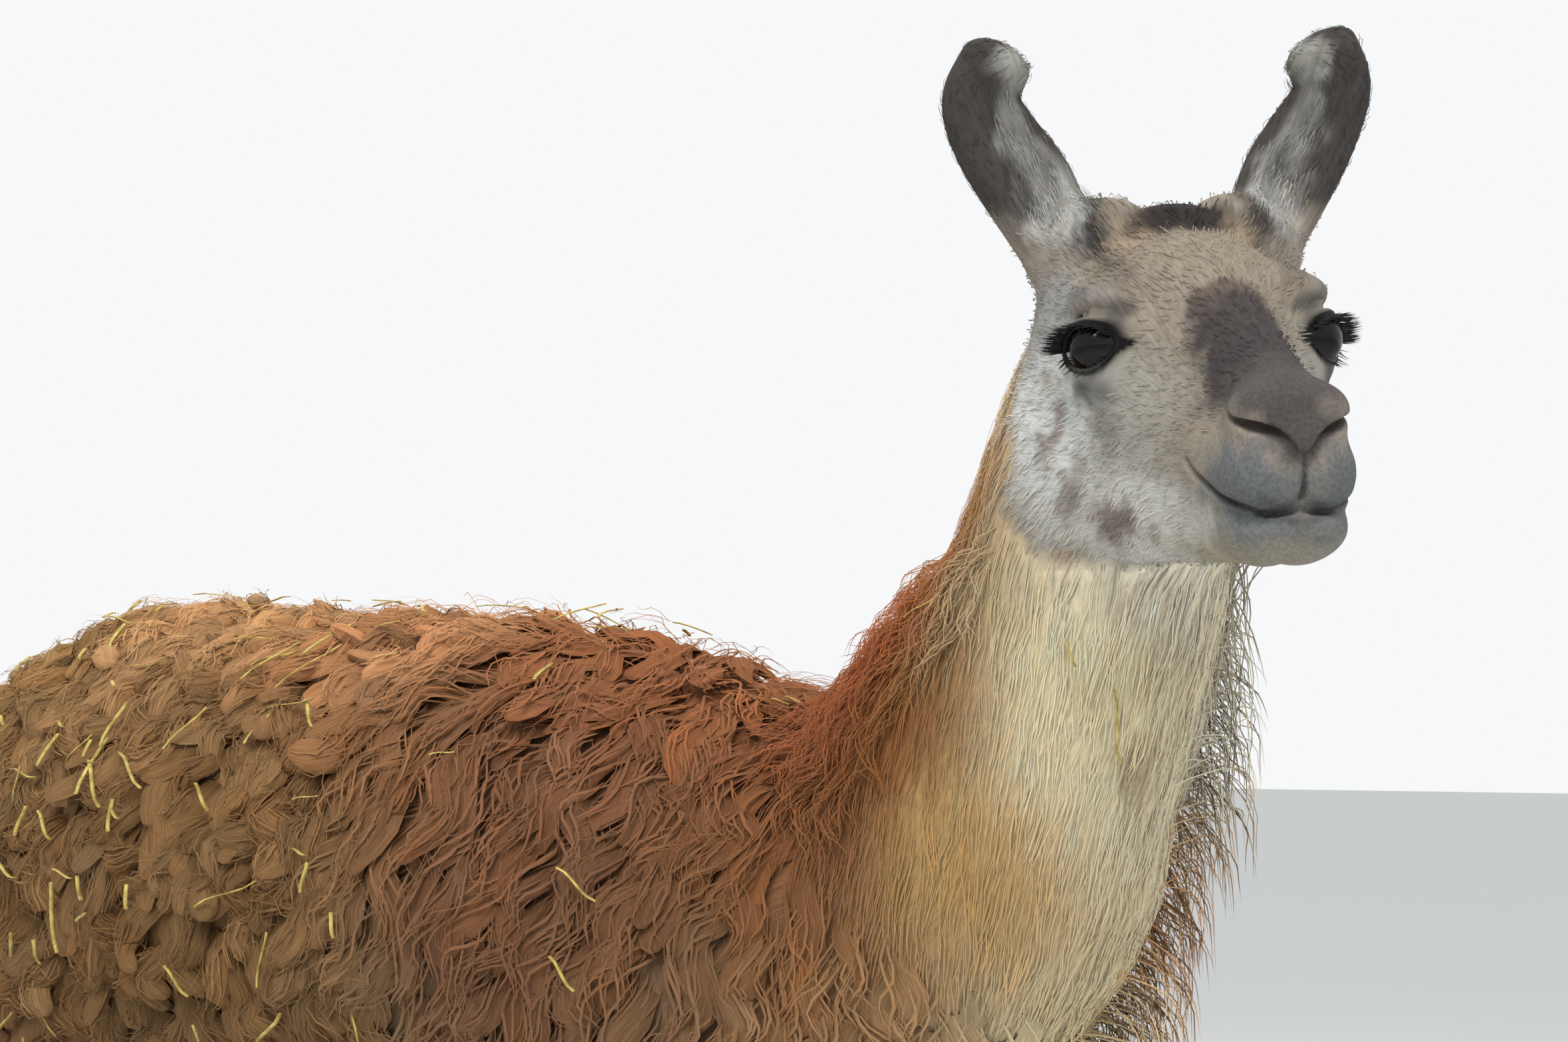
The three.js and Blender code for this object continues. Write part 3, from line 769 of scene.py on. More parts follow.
class Finish:
    """A node material. Its shader's numbers are given by the names of the sockets."""

    def __init__(self, name, **numbers):
        self.data = bpy.data.materials.new(name)
        self.data.use_nodes = True
        self.shader = self.data.node_tree.nodes["Principled BSDF"]
        for socket, number in numbers.items():
            self.shader.inputs[socket.replace("_", " ")].default_value = number

    def add(self, kind, settings=None, sockets=None, out=0):
        node = self.data.node_tree.nodes.new(kind)
        for name, setting in (settings or {}).items():
            if name == "stops":
                self.set_stops(node.color_ramp, setting)
            else:
                setattr(node, name, setting)
        for name, value in (sockets or {}).items():
            if isinstance(value, Socket):
                self.data.node_tree.links.new(value.link, node.inputs[name])
            else:
                node.inputs[name].default_value = value
        return Socket(self, node.outputs[out])

    @staticmethod
    def set_stops(ramp_of_node, stops):
        while len(ramp_of_node.elements) < len(stops):
            ramp_of_node.elements.new(1)
        for element, (place, colour) in zip(ramp_of_node.elements, stops):
            element.position = place
            element.color = (*linear(colour), 1)

    def feed(self, socket, value):
        self.data.node_tree.links.new(value.link, self.shader.inputs[socket])

    def mix(self, factor, first, second, blend_type="MIX"):
        """Colours mixed by a factor between 0 and 1."""
        settings = {"data_type": "RGBA", "blend_type": blend_type}
        return self.add("ShaderNodeMix", settings, {0: factor, 6: first, 7: second}, out=2)

    def spread(self, value, from_low, from_high, to_low, to_high):
        sockets = {0: value, 1: from_low, 2: from_high, 3: to_low, 4: to_high}
        return self.add("ShaderNodeMapRange", {"clamp": True}, sockets)

    def streaks(self, vector, scale, detail=3.0):
        """Noise drawn out along the hair: scale is across and along."""
        stretched = self.add("ShaderNodeMapping", {}, {"Vector": vector, "Scale": (*scale, 1)})
        return self.add("ShaderNodeTexNoise", {},
                        {"Vector": stretched, "Scale": 1.0, "Detail": detail, "Roughness": 0.6})

    def bump(self, height, strength, distance):
        self.feed("Normal", self.add("ShaderNodeBump", {},
                                     {"Height": height, "Strength": strength, "Distance": distance}))


hide = Finish("short_coat", Roughness=0.82, Specular_IOR_Level=0.25)
tint = hide.add("ShaderNodeAttribute", {"attribute_name": "coat"})
way = hide.add("ShaderNodeAttribute", {"attribute_name": "way"}, out=1)
fine = hide.streaks(way, (900, 110))
broad = hide.streaks(way, (260, 40))
dark = hide.mix(1.0, tint, (0.62, 0.60, 0.58, 1), "MULTIPLY")
mottle = hide.spread(fine * 0.6 + broad * 0.4, 0.36, 0.58, 0, 1)
sleek = hide.add("ShaderNodeAttribute", {"attribute_name": "sleek"}, out=2)
grain = hide.add("ShaderNodeTexNoise", {},
                 {"Vector": hide.add("ShaderNodeTexCoord", out=3), "Scale": 1100.0, "Detail": 2.0})
speckle = hide.add("ShaderNodeTexNoise", {},
                   {"Vector": hide.add("ShaderNodeTexCoord", out=3), "Scale": 420.0, "Detail": 5.0})
grey = hide.spread(speckle, 0.38, 0.62, 0, 1)
hide.feed("Base Color", hide.mix(mottle + (0.25 + grey * 0.75 - mottle) * sleek * 0.8, dark, tint))
furry = fine * 0.7 + broad * 0.5
hide.bump(furry + (grain * 0.35 + speckle * 0.8 - furry) * sleek, 0.6, 0.0012)

shape = vertices(skin.data)
give_colour(skin.data, "coat", coat_colour(shape))
flow_layer = skin.data.attributes.new("way", "FLOAT_VECTOR", "POINT")
flow_layer.data.foreach_set("vector", follow(shape).astype(np.float32).ravel())
face_at = to_head(shape)
smooth_part = ramp(-face_at[:, 1] - 0.35 * face_at[:, 2], 0.128, 0.165) * near_head(shape)
sleek_layer = skin.data.attributes.new("sleek", "FLOAT", "POINT")
sleek_layer.data.foreach_set("value", smooth_part.astype(np.float32))
skin.data.vertices.foreach_set("co", (shape + np.array(SHIFT)).astype(np.float32).ravel())
skin.data.polygons.foreach_set("use_smooth", [True] * len(skin.data.polygons))
skin.data.materials.append(hide.data)
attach(skin, "root")
flesh = [f"{part}_{end}_{side}" for part in ("leg", "foot") for end in ("front", "hind")
         for side in ("right", "left")]
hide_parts("head", "neck", "trunk", "tail", "ear_right", "ear_left", *flesh)

# ---------- Eyes ----------
# Two large dark brown eyes set in the sides of the skull, each a clear cornea over an iris with a
# pupil that lies flat. The gaze goes out to the side and a little forward.

CORNEA_BULGE = 0.0016
EYE_ROWS, EYE_COLUMNS = 80, 96


def new_piece(name, points, faces, finish, smooth=True):
    """A piece from points in the animal's own place and faces, given as one or more arrays."""
    faces = [faces] if isinstance(faces, np.ndarray) else faces
    corners = np.concatenate([part.ravel() for part in faces])
    sizes = np.concatenate([np.full(len(part), part.shape[1]) for part in faces])
    mesh = bpy.data.meshes.new(name)
    mesh.vertices.add(len(points))
    mesh.vertices.foreach_set("co", (points + np.array(SHIFT)).astype(np.float32).ravel())
    mesh.loops.add(len(corners))
    mesh.loops.foreach_set("vertex_index", corners.astype(np.int32))
    mesh.polygons.add(len(sizes))
    mesh.polygons.foreach_set("loop_start", np.concatenate([[0], np.cumsum(sizes)[:-1]]).astype(np.int32))
    mesh.polygons.foreach_set("use_smooth", np.full(len(sizes), smooth))
    mesh.update(calc_edges=True)
    mesh.materials.append(finish.data)
    piece = bpy.data.objects.new(name, mesh)
    bpy.context.scene.collection.objects.link(piece)
    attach(piece, "root")
    return piece


def turn_faces_out(mesh):
    whole = bmesh.new()
    whole.from_mesh(mesh)
    bmesh.ops.recalc_face_normals(whole, faces=whole.faces[:])
    whole.to_mesh(mesh)
    whole.free()


def grid_faces(rows, columns):
    """Four-sided faces between rows of points, with each row closed into a ring."""
    across = np.arange(columns)
    down = np.arange(rows - 1)[:, None] * columns
    after = (across + 1) % columns
    return np.stack([down + across, down + after, down + columns + after, down + columns + across],
                    axis=-1).reshape(-1, 4)


eye = Finish("eye", Roughness=0.05, Specular_IOR_Level=0.06, Coat_Weight=0.4, Coat_Roughness=0.01)
eye.feed("Base Color", eye.add("ShaderNodeAttribute", {"attribute_name": "iris"}))
for side, word in ((-1, "right"), (1, "left")):
    back, up, gaze = eye_axes(side)
    tilt = np.repeat(np.linspace(0.004, math.pi - 0.004, EYE_ROWS), EYE_COLUMNS)
    turn = np.tile(np.arange(EYE_COLUMNS) * math.tau / EYE_COLUMNS, EYE_ROWS)
    reach = EYE_RADIUS + CORNEA_BULGE * np.exp(-((tilt / 0.5) ** 4))
    flat = np.stack([np.sin(tilt) * np.cos(turn), np.sin(tilt) * np.sin(turn), np.cos(tilt)], axis=1)
    ball = reach[:, None] * (flat @ np.array([back, up, gaze])) + np.array(EYE_SEAT) * (side, 1, 1)
    faces = grid_faces(EYE_ROWS, EYE_COLUMNS)
    faces = faces if side > 0 else faces[:, ::-1]
    front = np.arange(EYE_COLUMNS)[None]
    rear = front + (EYE_ROWS - 1) * EYE_COLUMNS
    piece = new_piece(f"eyeball_{word}", from_head(ball), [faces, front[:, ::side], rear[:, ::-side]], eye)
    turn_faces_out(piece.data)
    wide, tall = flat[:, 0] * EYE_RADIUS, flat[:, 1] * EYE_RADIUS
    iris = ramp(0.0150 - np.hypot(wide, tall), -0.0006, 0.0012)[:, None] * (flat[:, 2:] > 0)
    spokes = 0.5 + 0.5 * np.sin(turn * 37) * np.sin(turn * 11 + 1)
    outer = ramp(np.hypot(wide, tall), 0.005, 0.013)[:, None]
    glow = linear("130b09") * (0.45 + 0.5 * spokes[:, None] * outer)
    pupil = ramp(1.0 - np.hypot(wide / 0.0105, tall / 0.0072), -0.05, 0.12)[:, None]
    shade = linear("120c0b") + (glow - linear("120c0b")) * iris
    give_colour(piece.data, "iris", shade + (linear("050505") - shade) * pupil)
    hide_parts(f"eye_{word}")

# ---------- Eyelids ----------
# Black rims of bare skin that close over the ball, with a fold above and below that runs out into
# the short hair. Each is one sheet, from behind the rim out to under the skin.


def unit(vectors):
    return vectors / np.maximum(np.linalg.norm(vectors, axis=-1, keepdims=True), 1e-9)


LID_COLUMNS = 96
LID_WETNESS = (1, 1, 1, 0.9, 0.6, 0.3, 0, 0, 0, 0, 0, 0)  # for each row of the profile
# mm out from the opening's edge, mm over the ball, share of the skin's height, mm below the skin
LID_PROFILE = [
    (-1.6, -1.2, 0, 0), (-0.5, 0.1, 0, 0), (0.0, 1.0, 0, 0), (0.8, 1.9, 0, 0), (1.8, 2.4, 0, 0),
    (2.9, 2.4, 0.10, 0), (4.0, 2.2, 0.3, 0), (5.4, 2.9, 0.55, -0.4), (6.9, 2.6, 0.8, -0.6),
    (8.6, 1.0, 0.97, -0.2), (10.4, 0, 1, 0.5), (12.6, 0, 1, 3.0),
]

lid_skin = Finish("lid_skin", Roughness=0.6, Specular_IOR_Level=0.25)
lid_tint = lid_skin.add("ShaderNodeAttribute", {"attribute_name": "coat"})
lid_grain = lid_skin.add("ShaderNodeTexNoise", {}, {"Scale": 900.0, "Detail": 3.0})
lid_dark = lid_skin.mix(1.0, lid_tint, (0.84, 0.83, 0.82, 1), "MULTIPLY")
lid_skin.feed("Base Color", lid_skin.mix(lid_grain, lid_tint, lid_dark))
lid_wet = lid_skin.add("ShaderNodeAttribute", {"attribute_name": "wet"}, out=2)
lid_skin.feed("Roughness", lid_wet * -0.35 + 0.8)
lid_skin.bump(lid_grain, 0.4, 0.0008)
LASH_ROOTS = {}
for side, word in ((-1, "right"), (1, "left")):
    back, up, gaze = eye_axes(side)
    middle = np.array(EYE_SEAT) * (side, 1, 1)
    turn = np.arange(LID_COLUMNS) * math.tau / LID_COLUMNS
    tall = np.where(np.sin(turn) > 0, RIM[1], RIM[2]) * np.sign(np.sin(turn)) * np.abs(np.sin(turn)) ** 1.15
    wide = RIM[0] * np.cos(turn)
    tall = tall - 0.0022 * np.cos(turn) * np.abs(np.cos(turn))  # the back corner sits a little lower
    rings, tones = [], []
    for extra, height, share, sink in LID_PROFILE:
        spread = np.hypot(wide, tall) + extra / 1000
        theta = np.minimum(spread / (EYE_RADIUS + 0.001), 1.62)
        heading = (np.cos(theta)[:, None] * gaze + np.sin(theta)[:, None]
                   * (wide[:, None] * back + tall[:, None] * up) / np.hypot(wide, tall)[:, None])
        tries = np.linspace(EYE_RADIUS + 0.022, EYE_RADIUS * 0.75, 40)
        spots = middle + heading * tries[:, None, None]
        depths = whole_face(from_head(spots.reshape(-1, 3))).reshape(40, LID_COLUMNS)
        met = np.maximum(np.argmax(depths < 0, axis=0), 1)  # the outermost crossing of the skin
        before, after = depths[met - 1, range(LID_COLUMNS)], depths[met, range(LID_COLUMNS)]
        low = tries[met] + (tries[met - 1] - tries[met]) * np.clip(-after / (before - after), 0, 1)
        low = (np.roll(low, 1) + 2 * low + np.roll(low, -1)) / 4
        over_ball = EYE_RADIUS + height / 1000
        reach = over_ball + (low - over_ball) * share
        reach = np.maximum(reach, over_ball - 0.0015 * share) if share < 0.9 else reach
        rings.append(middle + heading * (reach - sink / 1000)[:, None])
        black = linear("0d0b0b") * np.ones((LID_COLUMNS, 1))
        hair = coat_colour(from_head(rings[-1]))
        tail = np.exp(-(((turn - math.pi - 0.12) / 0.24) ** 2)) * (extra < 6)
        low_side = 0.35 * np.maximum(-np.sin(turn), 0)
        fade = share * 2.6 - 0.25 - 0.7 * np.maximum(np.sin(turn), 0) + low_side - 1.4 * tail
        fade = np.clip(fade, 0, 1)[:, None] ** 0.8
        tones.append(black + (hair - black) * fade)
    points = np.concatenate(rings)
    faces = grid_faces(len(rings), LID_COLUMNS)
    piece = new_piece(f"eyelids_{word}", from_head(points), faces if side < 0 else faces[:, ::-1], lid_skin)
    give_colour(piece.data, "coat", np.concatenate(tones))
    wetness = piece.data.attributes.new("wet", "FLOAT", "POINT")
    wetness.data.foreach_set("value", np.repeat(LID_WETNESS, LID_COLUMNS).astype(np.float32))
    LASH_ROOTS[side] = rings[3], turn

# ---------- Eyelashes ----------
# Long black lashes along the upper lid, thickest towards the back corner, curving out and back, and
# a few short ones below.


def tuft_mesh(name, paths, widths, overs, finish, thin=0.6, sides=3, ridges=0.0):
    """Tapered hairs or locks: paths are (hair, ring, 3), widths (hair, ring) half widths, and overs the
    way that each one's crest faces. The last ring is the tip."""
    count, rings = paths.shape[:2]
    along = unit(np.gradient(paths, axis=1))
    across = unit(np.cross(overs[:, None], along))
    crest = np.cross(along, across)
    walls = []
    for side in range(sides):
        angle = math.pi / 2 + math.tau * side / sides
        bulge = 1 + ridges * np.sin(angle * 3 + np.arange(rings - 1) * 0.9
                                    + np.arange(count)[:, None] * 1.7)
        shift = math.cos(angle) * across + math.sin(angle) * thin * crest
        walls.append(paths[:, :-1] + shift[:, :-1] * (widths[:, :-1] * bulge)[..., None])
    tube = np.stack(walls, axis=2).reshape(count, -1, 3)
    points = np.concatenate([tube, paths[:, -1:]], axis=1)
    each = points.shape[1]
    pairs = [(a, (a + 1) % sides) for a in range(sides)]
    quads = [(r * sides + a, r * sides + b, (r + 1) * sides + b, (r + 1) * sides + a)
             for r in range(rings - 2) for a, b in pairs]
    last = (rings - 2) * sides
    tips = [(last + a, last + b, each - 1) for a, b in pairs]
    start = (np.arange(count) * each)[:, None, None]
    faces = [(start + np.array(quads)).reshape(-1, 4), (start + np.array(tips)).reshape(-1, 3)]
    faces.append((start + np.arange(sides)[::-1]).reshape(-1, sides))
    return new_piece(name, points.reshape(-1, 3), faces, finish)


def put_on_map(piece, name, corners_u, corners_v):
    """A UV map from one value for each corner of the faces."""
    layer = piece.data.uv_layers.new(name=name)
    layer.data.foreach_set("uv", np.stack([corners_u, corners_v], axis=-1).astype(np.float32).ravel())


lash = Finish("lash", Base_Color=(0.010, 0.009, 0.009, 1), Roughness=0.5)
for side, word in ((-1, "right"), (1, "left")):
    random = np.random.default_rng(11)
    back, up, gaze = eye_axes(side)
    margin, turn = LASH_ROOTS[side]
    count = 260
    angle = math.radians(4) + math.radians(150) * random.uniform(0, 1, count) ** 1.2
    place = (angle / math.tau * LID_COLUMNS).astype(int)
    roots = margin[place] + random.normal(0, 0.0004, (count, 3)) - gaze * 0.0008
    lean = ramp(np.cos(angle), -0.8, 1.0)[:, None]
    length = (0.0075 + 0.0055 * lean[:, 0]) * random.uniform(0.7, 1.1, count)
    s = np.linspace(0, 1, 6)[None, :, None]
    heading = gaze * 0.9 + up * 0.02 + back * (0.05 + 0.50 * lean) + random.normal(0, 0.09, (count, 3))
    heading /= np.linalg.norm(heading, axis=1)[:, None]
    droop = (-up * 0.06 + back * 0.25)[None]
    bow = heading[:, None] * s + droop[:, None] * s**2 + up * 0.12 * s**3
    paths = roots[:, None] + length[:, None, None] * bow
    below = 26
    angle = math.radians(200) + math.radians(140) * random.uniform(0, 1, below)
    roots = margin[(angle / math.tau * LID_COLUMNS).astype(int)]
    heading = gaze * 0.7 - up * 0.6 + back * 0.3 + random.normal(0, 0.12, (below, 3))
    short = 0.008 * random.uniform(0.7, 1.2, below)[:, None, None]
    paths = np.concatenate([paths, roots[:, None] + short * (heading[:, None] * s + up * 0.1 * s**2)])
    widths = 0.00042 * (1 - np.linspace(0, 1, 6)[None] ** 1.5) * np.ones((count + below, 1))
    overs = np.tile(from_head(up[None]) - from_head(np.zeros((1, 3))), (count + below, 1))
    curved = from_head(paths.reshape(-1, 3)).reshape(paths.shape)
    piece = tuft_mesh(f"lashes_{word}", curved, widths, overs, lash, thin=1.0)

# ---------- Toenails ----------
# Two dark horn nails on each foot, blunt and curved down, at the end of the soft pads.

NAIL_AHEAD, NAIL_HIGH = 0.0690, 0.013
NAIL_SIZE = (0.0098, 0.0165, 0.0125)

horn = Finish("horn", Roughness=0.42)
bands = horn.add("ShaderNodeTexNoise", {},
                 {"Vector": horn.add("ShaderNodeTexCoord", out=3), "Scale": 160.0, "Detail": 4.0})
horn.feed("Base Color", horn.add("ShaderNodeValToRGB", {"stops": [(0.35, "1d1815"), (0.7, "4a3d33")]},
                                 {"Fac": bands}))
horn.bump(bands, 0.35, 0.0008)
for (leg, end) in ((FRONT_LEG, "front"), (HIND_LEG, "hind")):
    ankle = np.array(leg[-1][:2]) / 1000
    for side, word in ((-1, "right"), (1, "left")):
        rows, across = 14, 24
        lengthwise = np.linspace(0, 1, rows)[:, None]
        turn = np.arange(across) * math.tau / across
        girth = np.sin(np.pi * (0.06 + 0.90 * lengthwise)) ** 0.55
        one = np.stack([
            NAIL_SIZE[0] * girth * np.cos(turn),
            NAIL_SIZE[1] * (1 - 2 * lengthwise) + 0 * turn,
            NAIL_SIZE[2] * girth * np.sin(turn) * np.where(np.sin(turn) < 0, 0.85, 1.0)
            - 0.006 * lengthwise**2,
        ], axis=-1).reshape(-1, 3)
        both = []
        for toe in (-1, 1):
            middle = np.array([side * ankle[0] + toe * TOE_APART / 1000, ankle[1] - NAIL_AHEAD, NAIL_HIGH])
            both.append(one * (1, 1, 1) + middle)
        points = np.concatenate(both)
        points[:, 2] = np.maximum(points[:, 2], 0.0004)
        faces = grid_faces(rows, across)
        faces = np.concatenate([faces, faces + rows * across])
        ends = np.stack([np.arange(across)[::-1], (rows - 1) * across + np.arange(across)])
        ends = np.concatenate([ends, ends + rows * across])
        piece = new_piece(f"nails_{end}_{word}", points, [faces, ends], horn)
        turn_faces_out(piece.data)
        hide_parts(f"nail_{end}_{word}_inner", f"nail_{end}_{word}_outer")

# ---------- Fleece and hair ----------
# The coat is solid locks rooted in the skin: crimped curls on the barrel, long waves on the shoulder,
# fine straight hair on the neck and short hair on head and legs. Each lock is a few tapered tufts.

skin.data.calc_loop_triangles()
corner_of = np.empty(len(skin.data.loop_triangles) * 3, np.int32)
skin.data.loop_triangles.foreach_get("vertices", corner_of)
corner_of = corner_of.reshape(-1, 3)
triangle = shape[corner_of]
facing = np.empty(len(shape) * 3, np.float32)
skin.data.vertices.foreach_get("normal", facing)
facing = facing.reshape(-1, 3)
triangle_area = np.linalg.norm(np.cross(triangle[:, 1] - triangle[:, 0], triangle[:, 2] - triangle[:, 0]),
                               axis=1) / 2
middle_of = triangle.mean(axis=1)
outline_body, _, outline_ears, _ = animal(0)


def coat_outline(points):
    return np.minimum(outline_body(points), outline_ears(points))


def scatter(chosen, spacing, random):
    """Points spread fairly evenly over the chosen triangles of the skin, with the skin's normals."""
    which = np.flatnonzero(chosen)
    total = np.cumsum(triangle_area[which])
    tries = int(total[-1] / spacing**2 * 4) + 10
    pick = which[np.minimum(np.searchsorted(total, random.uniform(0, total[-1], tries)), len(which) - 1)]
    a, b = random.uniform(0, 1, (2, tries, 1))
    a, b = np.where(a + b > 1, 1 - a, a), np.where(a + b > 1, 1 - b, b)
    share = np.stack([1 - a - b, a, b], axis=1)
    spots = (triangle[pick] * share).sum(axis=1)
    ups = unit((facing[corner_of[pick]] * share).sum(axis=1))
    cell = np.floor(spots / (spacing * 1.22)).astype(int) @ (1, 4001, 16008001)
    _, first = np.unique(cell, return_index=True)
    return spots[first], ups[first]


def ear_share(points):
    at = to_head(points)
    at[:, 0] = np.abs(at[:, 0])
    high = at[:, 2] - 0.25 * (at[:, 1] - 0.09) - 0.35 * (at[:, 0] - 0.066)
    return ramp(high, 0.045, 0.075) * ramp(at[:, 0], 0.035, 0.055)


def lie_of(points, normals):
    """The way the coat lies at each point, along the skin."""
    way = np.tile([0.0, 0.30, -1.0], (len(points), 1))
    fore = ramp(-points[:, 1], 0.05, 0.25)[:, None]
    way += (np.array([0.0, 0.12, -1.0]) - way) * fore
    part, side, out = NECK_LINE.locate(points)
    along = np.array([-0.085, -0.36, 0.50])
    on_neck = ramp(part, 0.08, 0.30)[:, None] * ramp(-points[:, 1], 0.20, 0.34)[:, None]
    down = -0.3 * unit(along) + np.array([0.02, 0.04, -0.7])
    way += (down - way) * on_neck
    low = ramp(0.70 - points[:, 2], 0.0, 0.1)[:, None]
    way += (np.array([0.0, 0.10, -1.0]) - way) * low
    at = to_head(points)
    back = np.tile([0.0, 1.0, -0.10], (len(points), 1))
    cheek = ramp(-at[:, 2], 0.02, 0.10) * ramp(np.abs(at[:, 0]), 0.03, 0.06)
    back[:, 2] -= 0.7 * cheek
    brow = ramp(at[:, 2], -0.01, 0.03) * ramp(at[:, 1], -0.05, 0.0)
    back[:, 0] += 0.35 * brow * np.sign(at[:, 0])
    back[:, 2] += 0.25 * brow
    up_ear = np.column_stack([0.45 * np.sign(at[:, 0]), np.full(len(points), 0.05), np.ones(len(points))])
    tip = ramp(at[:, 2], 0.135, 0.175)[:, None]
    up_ear += (np.column_stack([-0.8 * np.sign(at[:, 0]), np.full(len(points), -0.3),
                                np.full(len(points), 0.25)]) - up_ear) * tip
    back += (up_ear - back) * ear_share(points)[:, None]
    back = back @ np.array(turned).T
    way += (back - way) * near_head(points)[:, None]
    way -= normals * np.sum(way * normals, axis=1, keepdims=True)
    return unit(way)


def unwrap(points):
    """Place of each root on the skin laid out flat, part by part, within a square."""
    at = to_head(points)
    part, side, out = NECK_LINE.locate(points)
    u = np.arctan2(points[:, 0], points[:, 2] - 0.88) / math.tau + 0.5
    v = (points[:, 1] + 0.40) / 1.40
    neck = points[:, 1] < -0.20 - 0.5 * (points[:, 2] - 0.9)
    u = np.where(neck, np.arctan2(side, out) / math.tau + 0.5, u)
    v = np.where(neck, part, v)
    low = points[:, 2] < 0.66
    fore = points[:, 1] < 0.26
    heart = np.where(fore, -0.095, 0.69 - 0.06 * ramp(points[:, 2], 0.4, 0.62))
    spin = np.arctan2(points[:, 1] - heart, np.abs(points[:, 0]) - 0.118) / math.tau + 0.5
    u = np.where(low, (spin + fore + 2 * (points[:, 0] > 0)) / 4, u)
    v = np.where(low, points[:, 2] / 0.66, v)
    on = near_head(points) > 0.5
    u = np.where(on, np.arctan2(at[:, 0], at[:, 2] + 0.05) / math.tau + 0.5, u)
    v = np.where(on, (at[:, 1] + 0.20) / 0.34, v)
    ear = on & (ear_share(points) > 0.5)
    around = np.arctan2(np.abs(at[:, 0]) - 0.066 - 0.35 * (at[:, 2] - 0.056),
                        at[:, 1] - 0.095) / math.tau + 0.5
    u = np.where(ear, (around + (at[:, 0] > 0)) / 2, u)
    v = np.where(ear, (at[:, 2] - 0.03) / 0.18, v)
    return np.clip(np.column_stack([u, v]), 0.004, 0.992)


wool = Finish("wool", Roughness=0.95, Specular_IOR_Level=0.08)
wool_tint = wool.add("ShaderNodeAttribute", {"attribute_name": "coat"})
wool_way = wool.add("ShaderNodeUVMap", {"uv_map": "fibre"})
wool_fibre = wool.streaks(wool_way, (1.0, 30))
shaded = wool.mix(1.0, wool_tint, (0.84, 0.82, 0.80, 1), "MULTIPLY")
lit = wool.mix(1.0, wool_tint, (1.10, 1.10, 1.09, 1), "MULTIPLY")
wool.feed("Base Color", wool.mix(wool.spread(wool_fibre, 0.34, 0.66, 0, 1), shaded, lit))
wool.bump(wool_fibre, 0.25, 0.0010)

curly_wool = Finish("curly_wool", Roughness=0.95, Specular_IOR_Level=0.08)
curl_tint = curly_wool.add("ShaderNodeAttribute", {"attribute_name": "coat"})
curl_fibre = curly_wool.streaks(curly_wool.add("ShaderNodeUVMap", {"uv_map": "fibre"}), (1.0, 22), 5.0)
# Painted shade and painted highlight along the fibres: a shaded and a lit copy of the coat's colour, mixed
# by the fibre noise.
curl_shaded = curly_wool.mix(1.0, curl_tint, (0.66, 0.62, 0.60, 1), "MULTIPLY")
curl_lit = curly_wool.mix(1.0, curl_tint, (1.16, 1.15, 1.12, 1), "MULTIPLY")
curl_share = curly_wool.spread(curl_fibre, 0.36, 0.62, 0, 1)
curly_wool.feed("Base Color", curly_wool.mix(curl_share, curl_shaded, curl_lit))
curly_wool.bump(curl_fibre, 0.7, 0.0025)

FLOOR_ROOM = 0.0028  # the coat's lowest middle line above the floor


def swell(s, taper=0.75):
    """A tuft's half width along it, against its greatest."""
    narrowed = (np.clip(s - 0.5, 0, 0.5) / 0.5) ** 2 * taper
    return (0.70 + 0.30 * np.sin(math.pi * np.clip(s, 0, 1))) * (1 - narrowed)


def rounded(s):
    """The half width of a blunt curl along it, against its greatest."""
    return (0.78 + 0.22 * np.sin(math.pi * s)) * np.sqrt(np.maximum(1 - s**10, 0))


class Locks:
    """The middle lines of the locks on part of the skin. Sizes are in metres: spacing is between locks,
    curl and wave are how far a lock swings, rise is its height against the coat's depth."""

    def __init__(self, chosen, seed, spacing, length, rings=8, curl=0.0, turns=1.0, wave=0.0, waves=2.0,
                 rise=0.9, stray=0.1, start=0.0, dip=0.15, on_face=False):
        random = np.random.default_rng(seed)
        self.spacing, self.start, self.curl, self.turns = spacing, start, curl, turns
        self.roots, self.ups = scatter(chosen, spacing, random)
        count = len(self.roots)
        lies = lie_of(self.roots, self.ups)
        self.lies = unit(lies + random.normal(0, stray, lies.shape))
        self.cross = unit(np.cross(self.ups, self.lies))
        depth = np.maximum(-by_region(coat_outline, self.roots), 0.0008)
        self.long = length * random.uniform(0.75, 1.15, count)
        self.rise = np.minimum(depth * rise * random.uniform(0.85, 1.05, count), self.long * 0.8)[:, None]
        s = np.linspace(0, 1, rings)
        climb = start + (1 - start) * np.sin(np.clip(s * 1.7, 0, 1) * math.pi / 2) - dip * s**2
        climb = self.rise * climb
        ahead = (self.long[:, None] * s * (1 - 0.15 * s))[..., None]
        axis = self.roots[:, None] + self.lies[:, None] * ahead
        if rings > 3:  # follow the rounded body
            under = whole_face if on_face else skin_field
            off = by_region(under, axis.reshape(-1, 3)).reshape(count, rings)
            axis -= self.ups[:, None] * np.clip(off, -0.02, 0.02)[..., None]
        axis += self.ups[:, None] * climb[..., None]
        phase = random.uniform(0, math.tau, count)[:, None]
        self.hand = random.choice([-1, 1], count)[:, None]
        bend = phase + self.hand * math.tau * turns * s
        swing = curl * np.clip(s * 1.6, 0, 1) * random.uniform(0.6, 1.3, (count, 1))
        sway = wave * (np.sin(phase + math.tau * waves * s) - np.sin(phase))
        axis += self.cross[:, None] * (swing * np.cos(bend) + sway)[..., None]
        self.axis = axis + self.ups[:, None] * (swing * 0.55 * np.sin(bend) - 0.4 * swing)[..., None]
        self.shade = random.normal(size=count)
        self.warmth = random.normal(0, 0.04, count)
        self.girth = random.uniform(0.65, 1.25, count)

    def at(self, own, s):
        """Places on the given locks' middle lines, and the way each runs there."""
        last = self.axis.shape[1] - 1
        step = np.clip(s * last, 0, last - 1e-6)
        low = step.astype(int)
        first, second = self.axis[own, low], self.axis[own, low + 1]
        return first + (second - first) * (step - low)[..., None], unit(second - first)


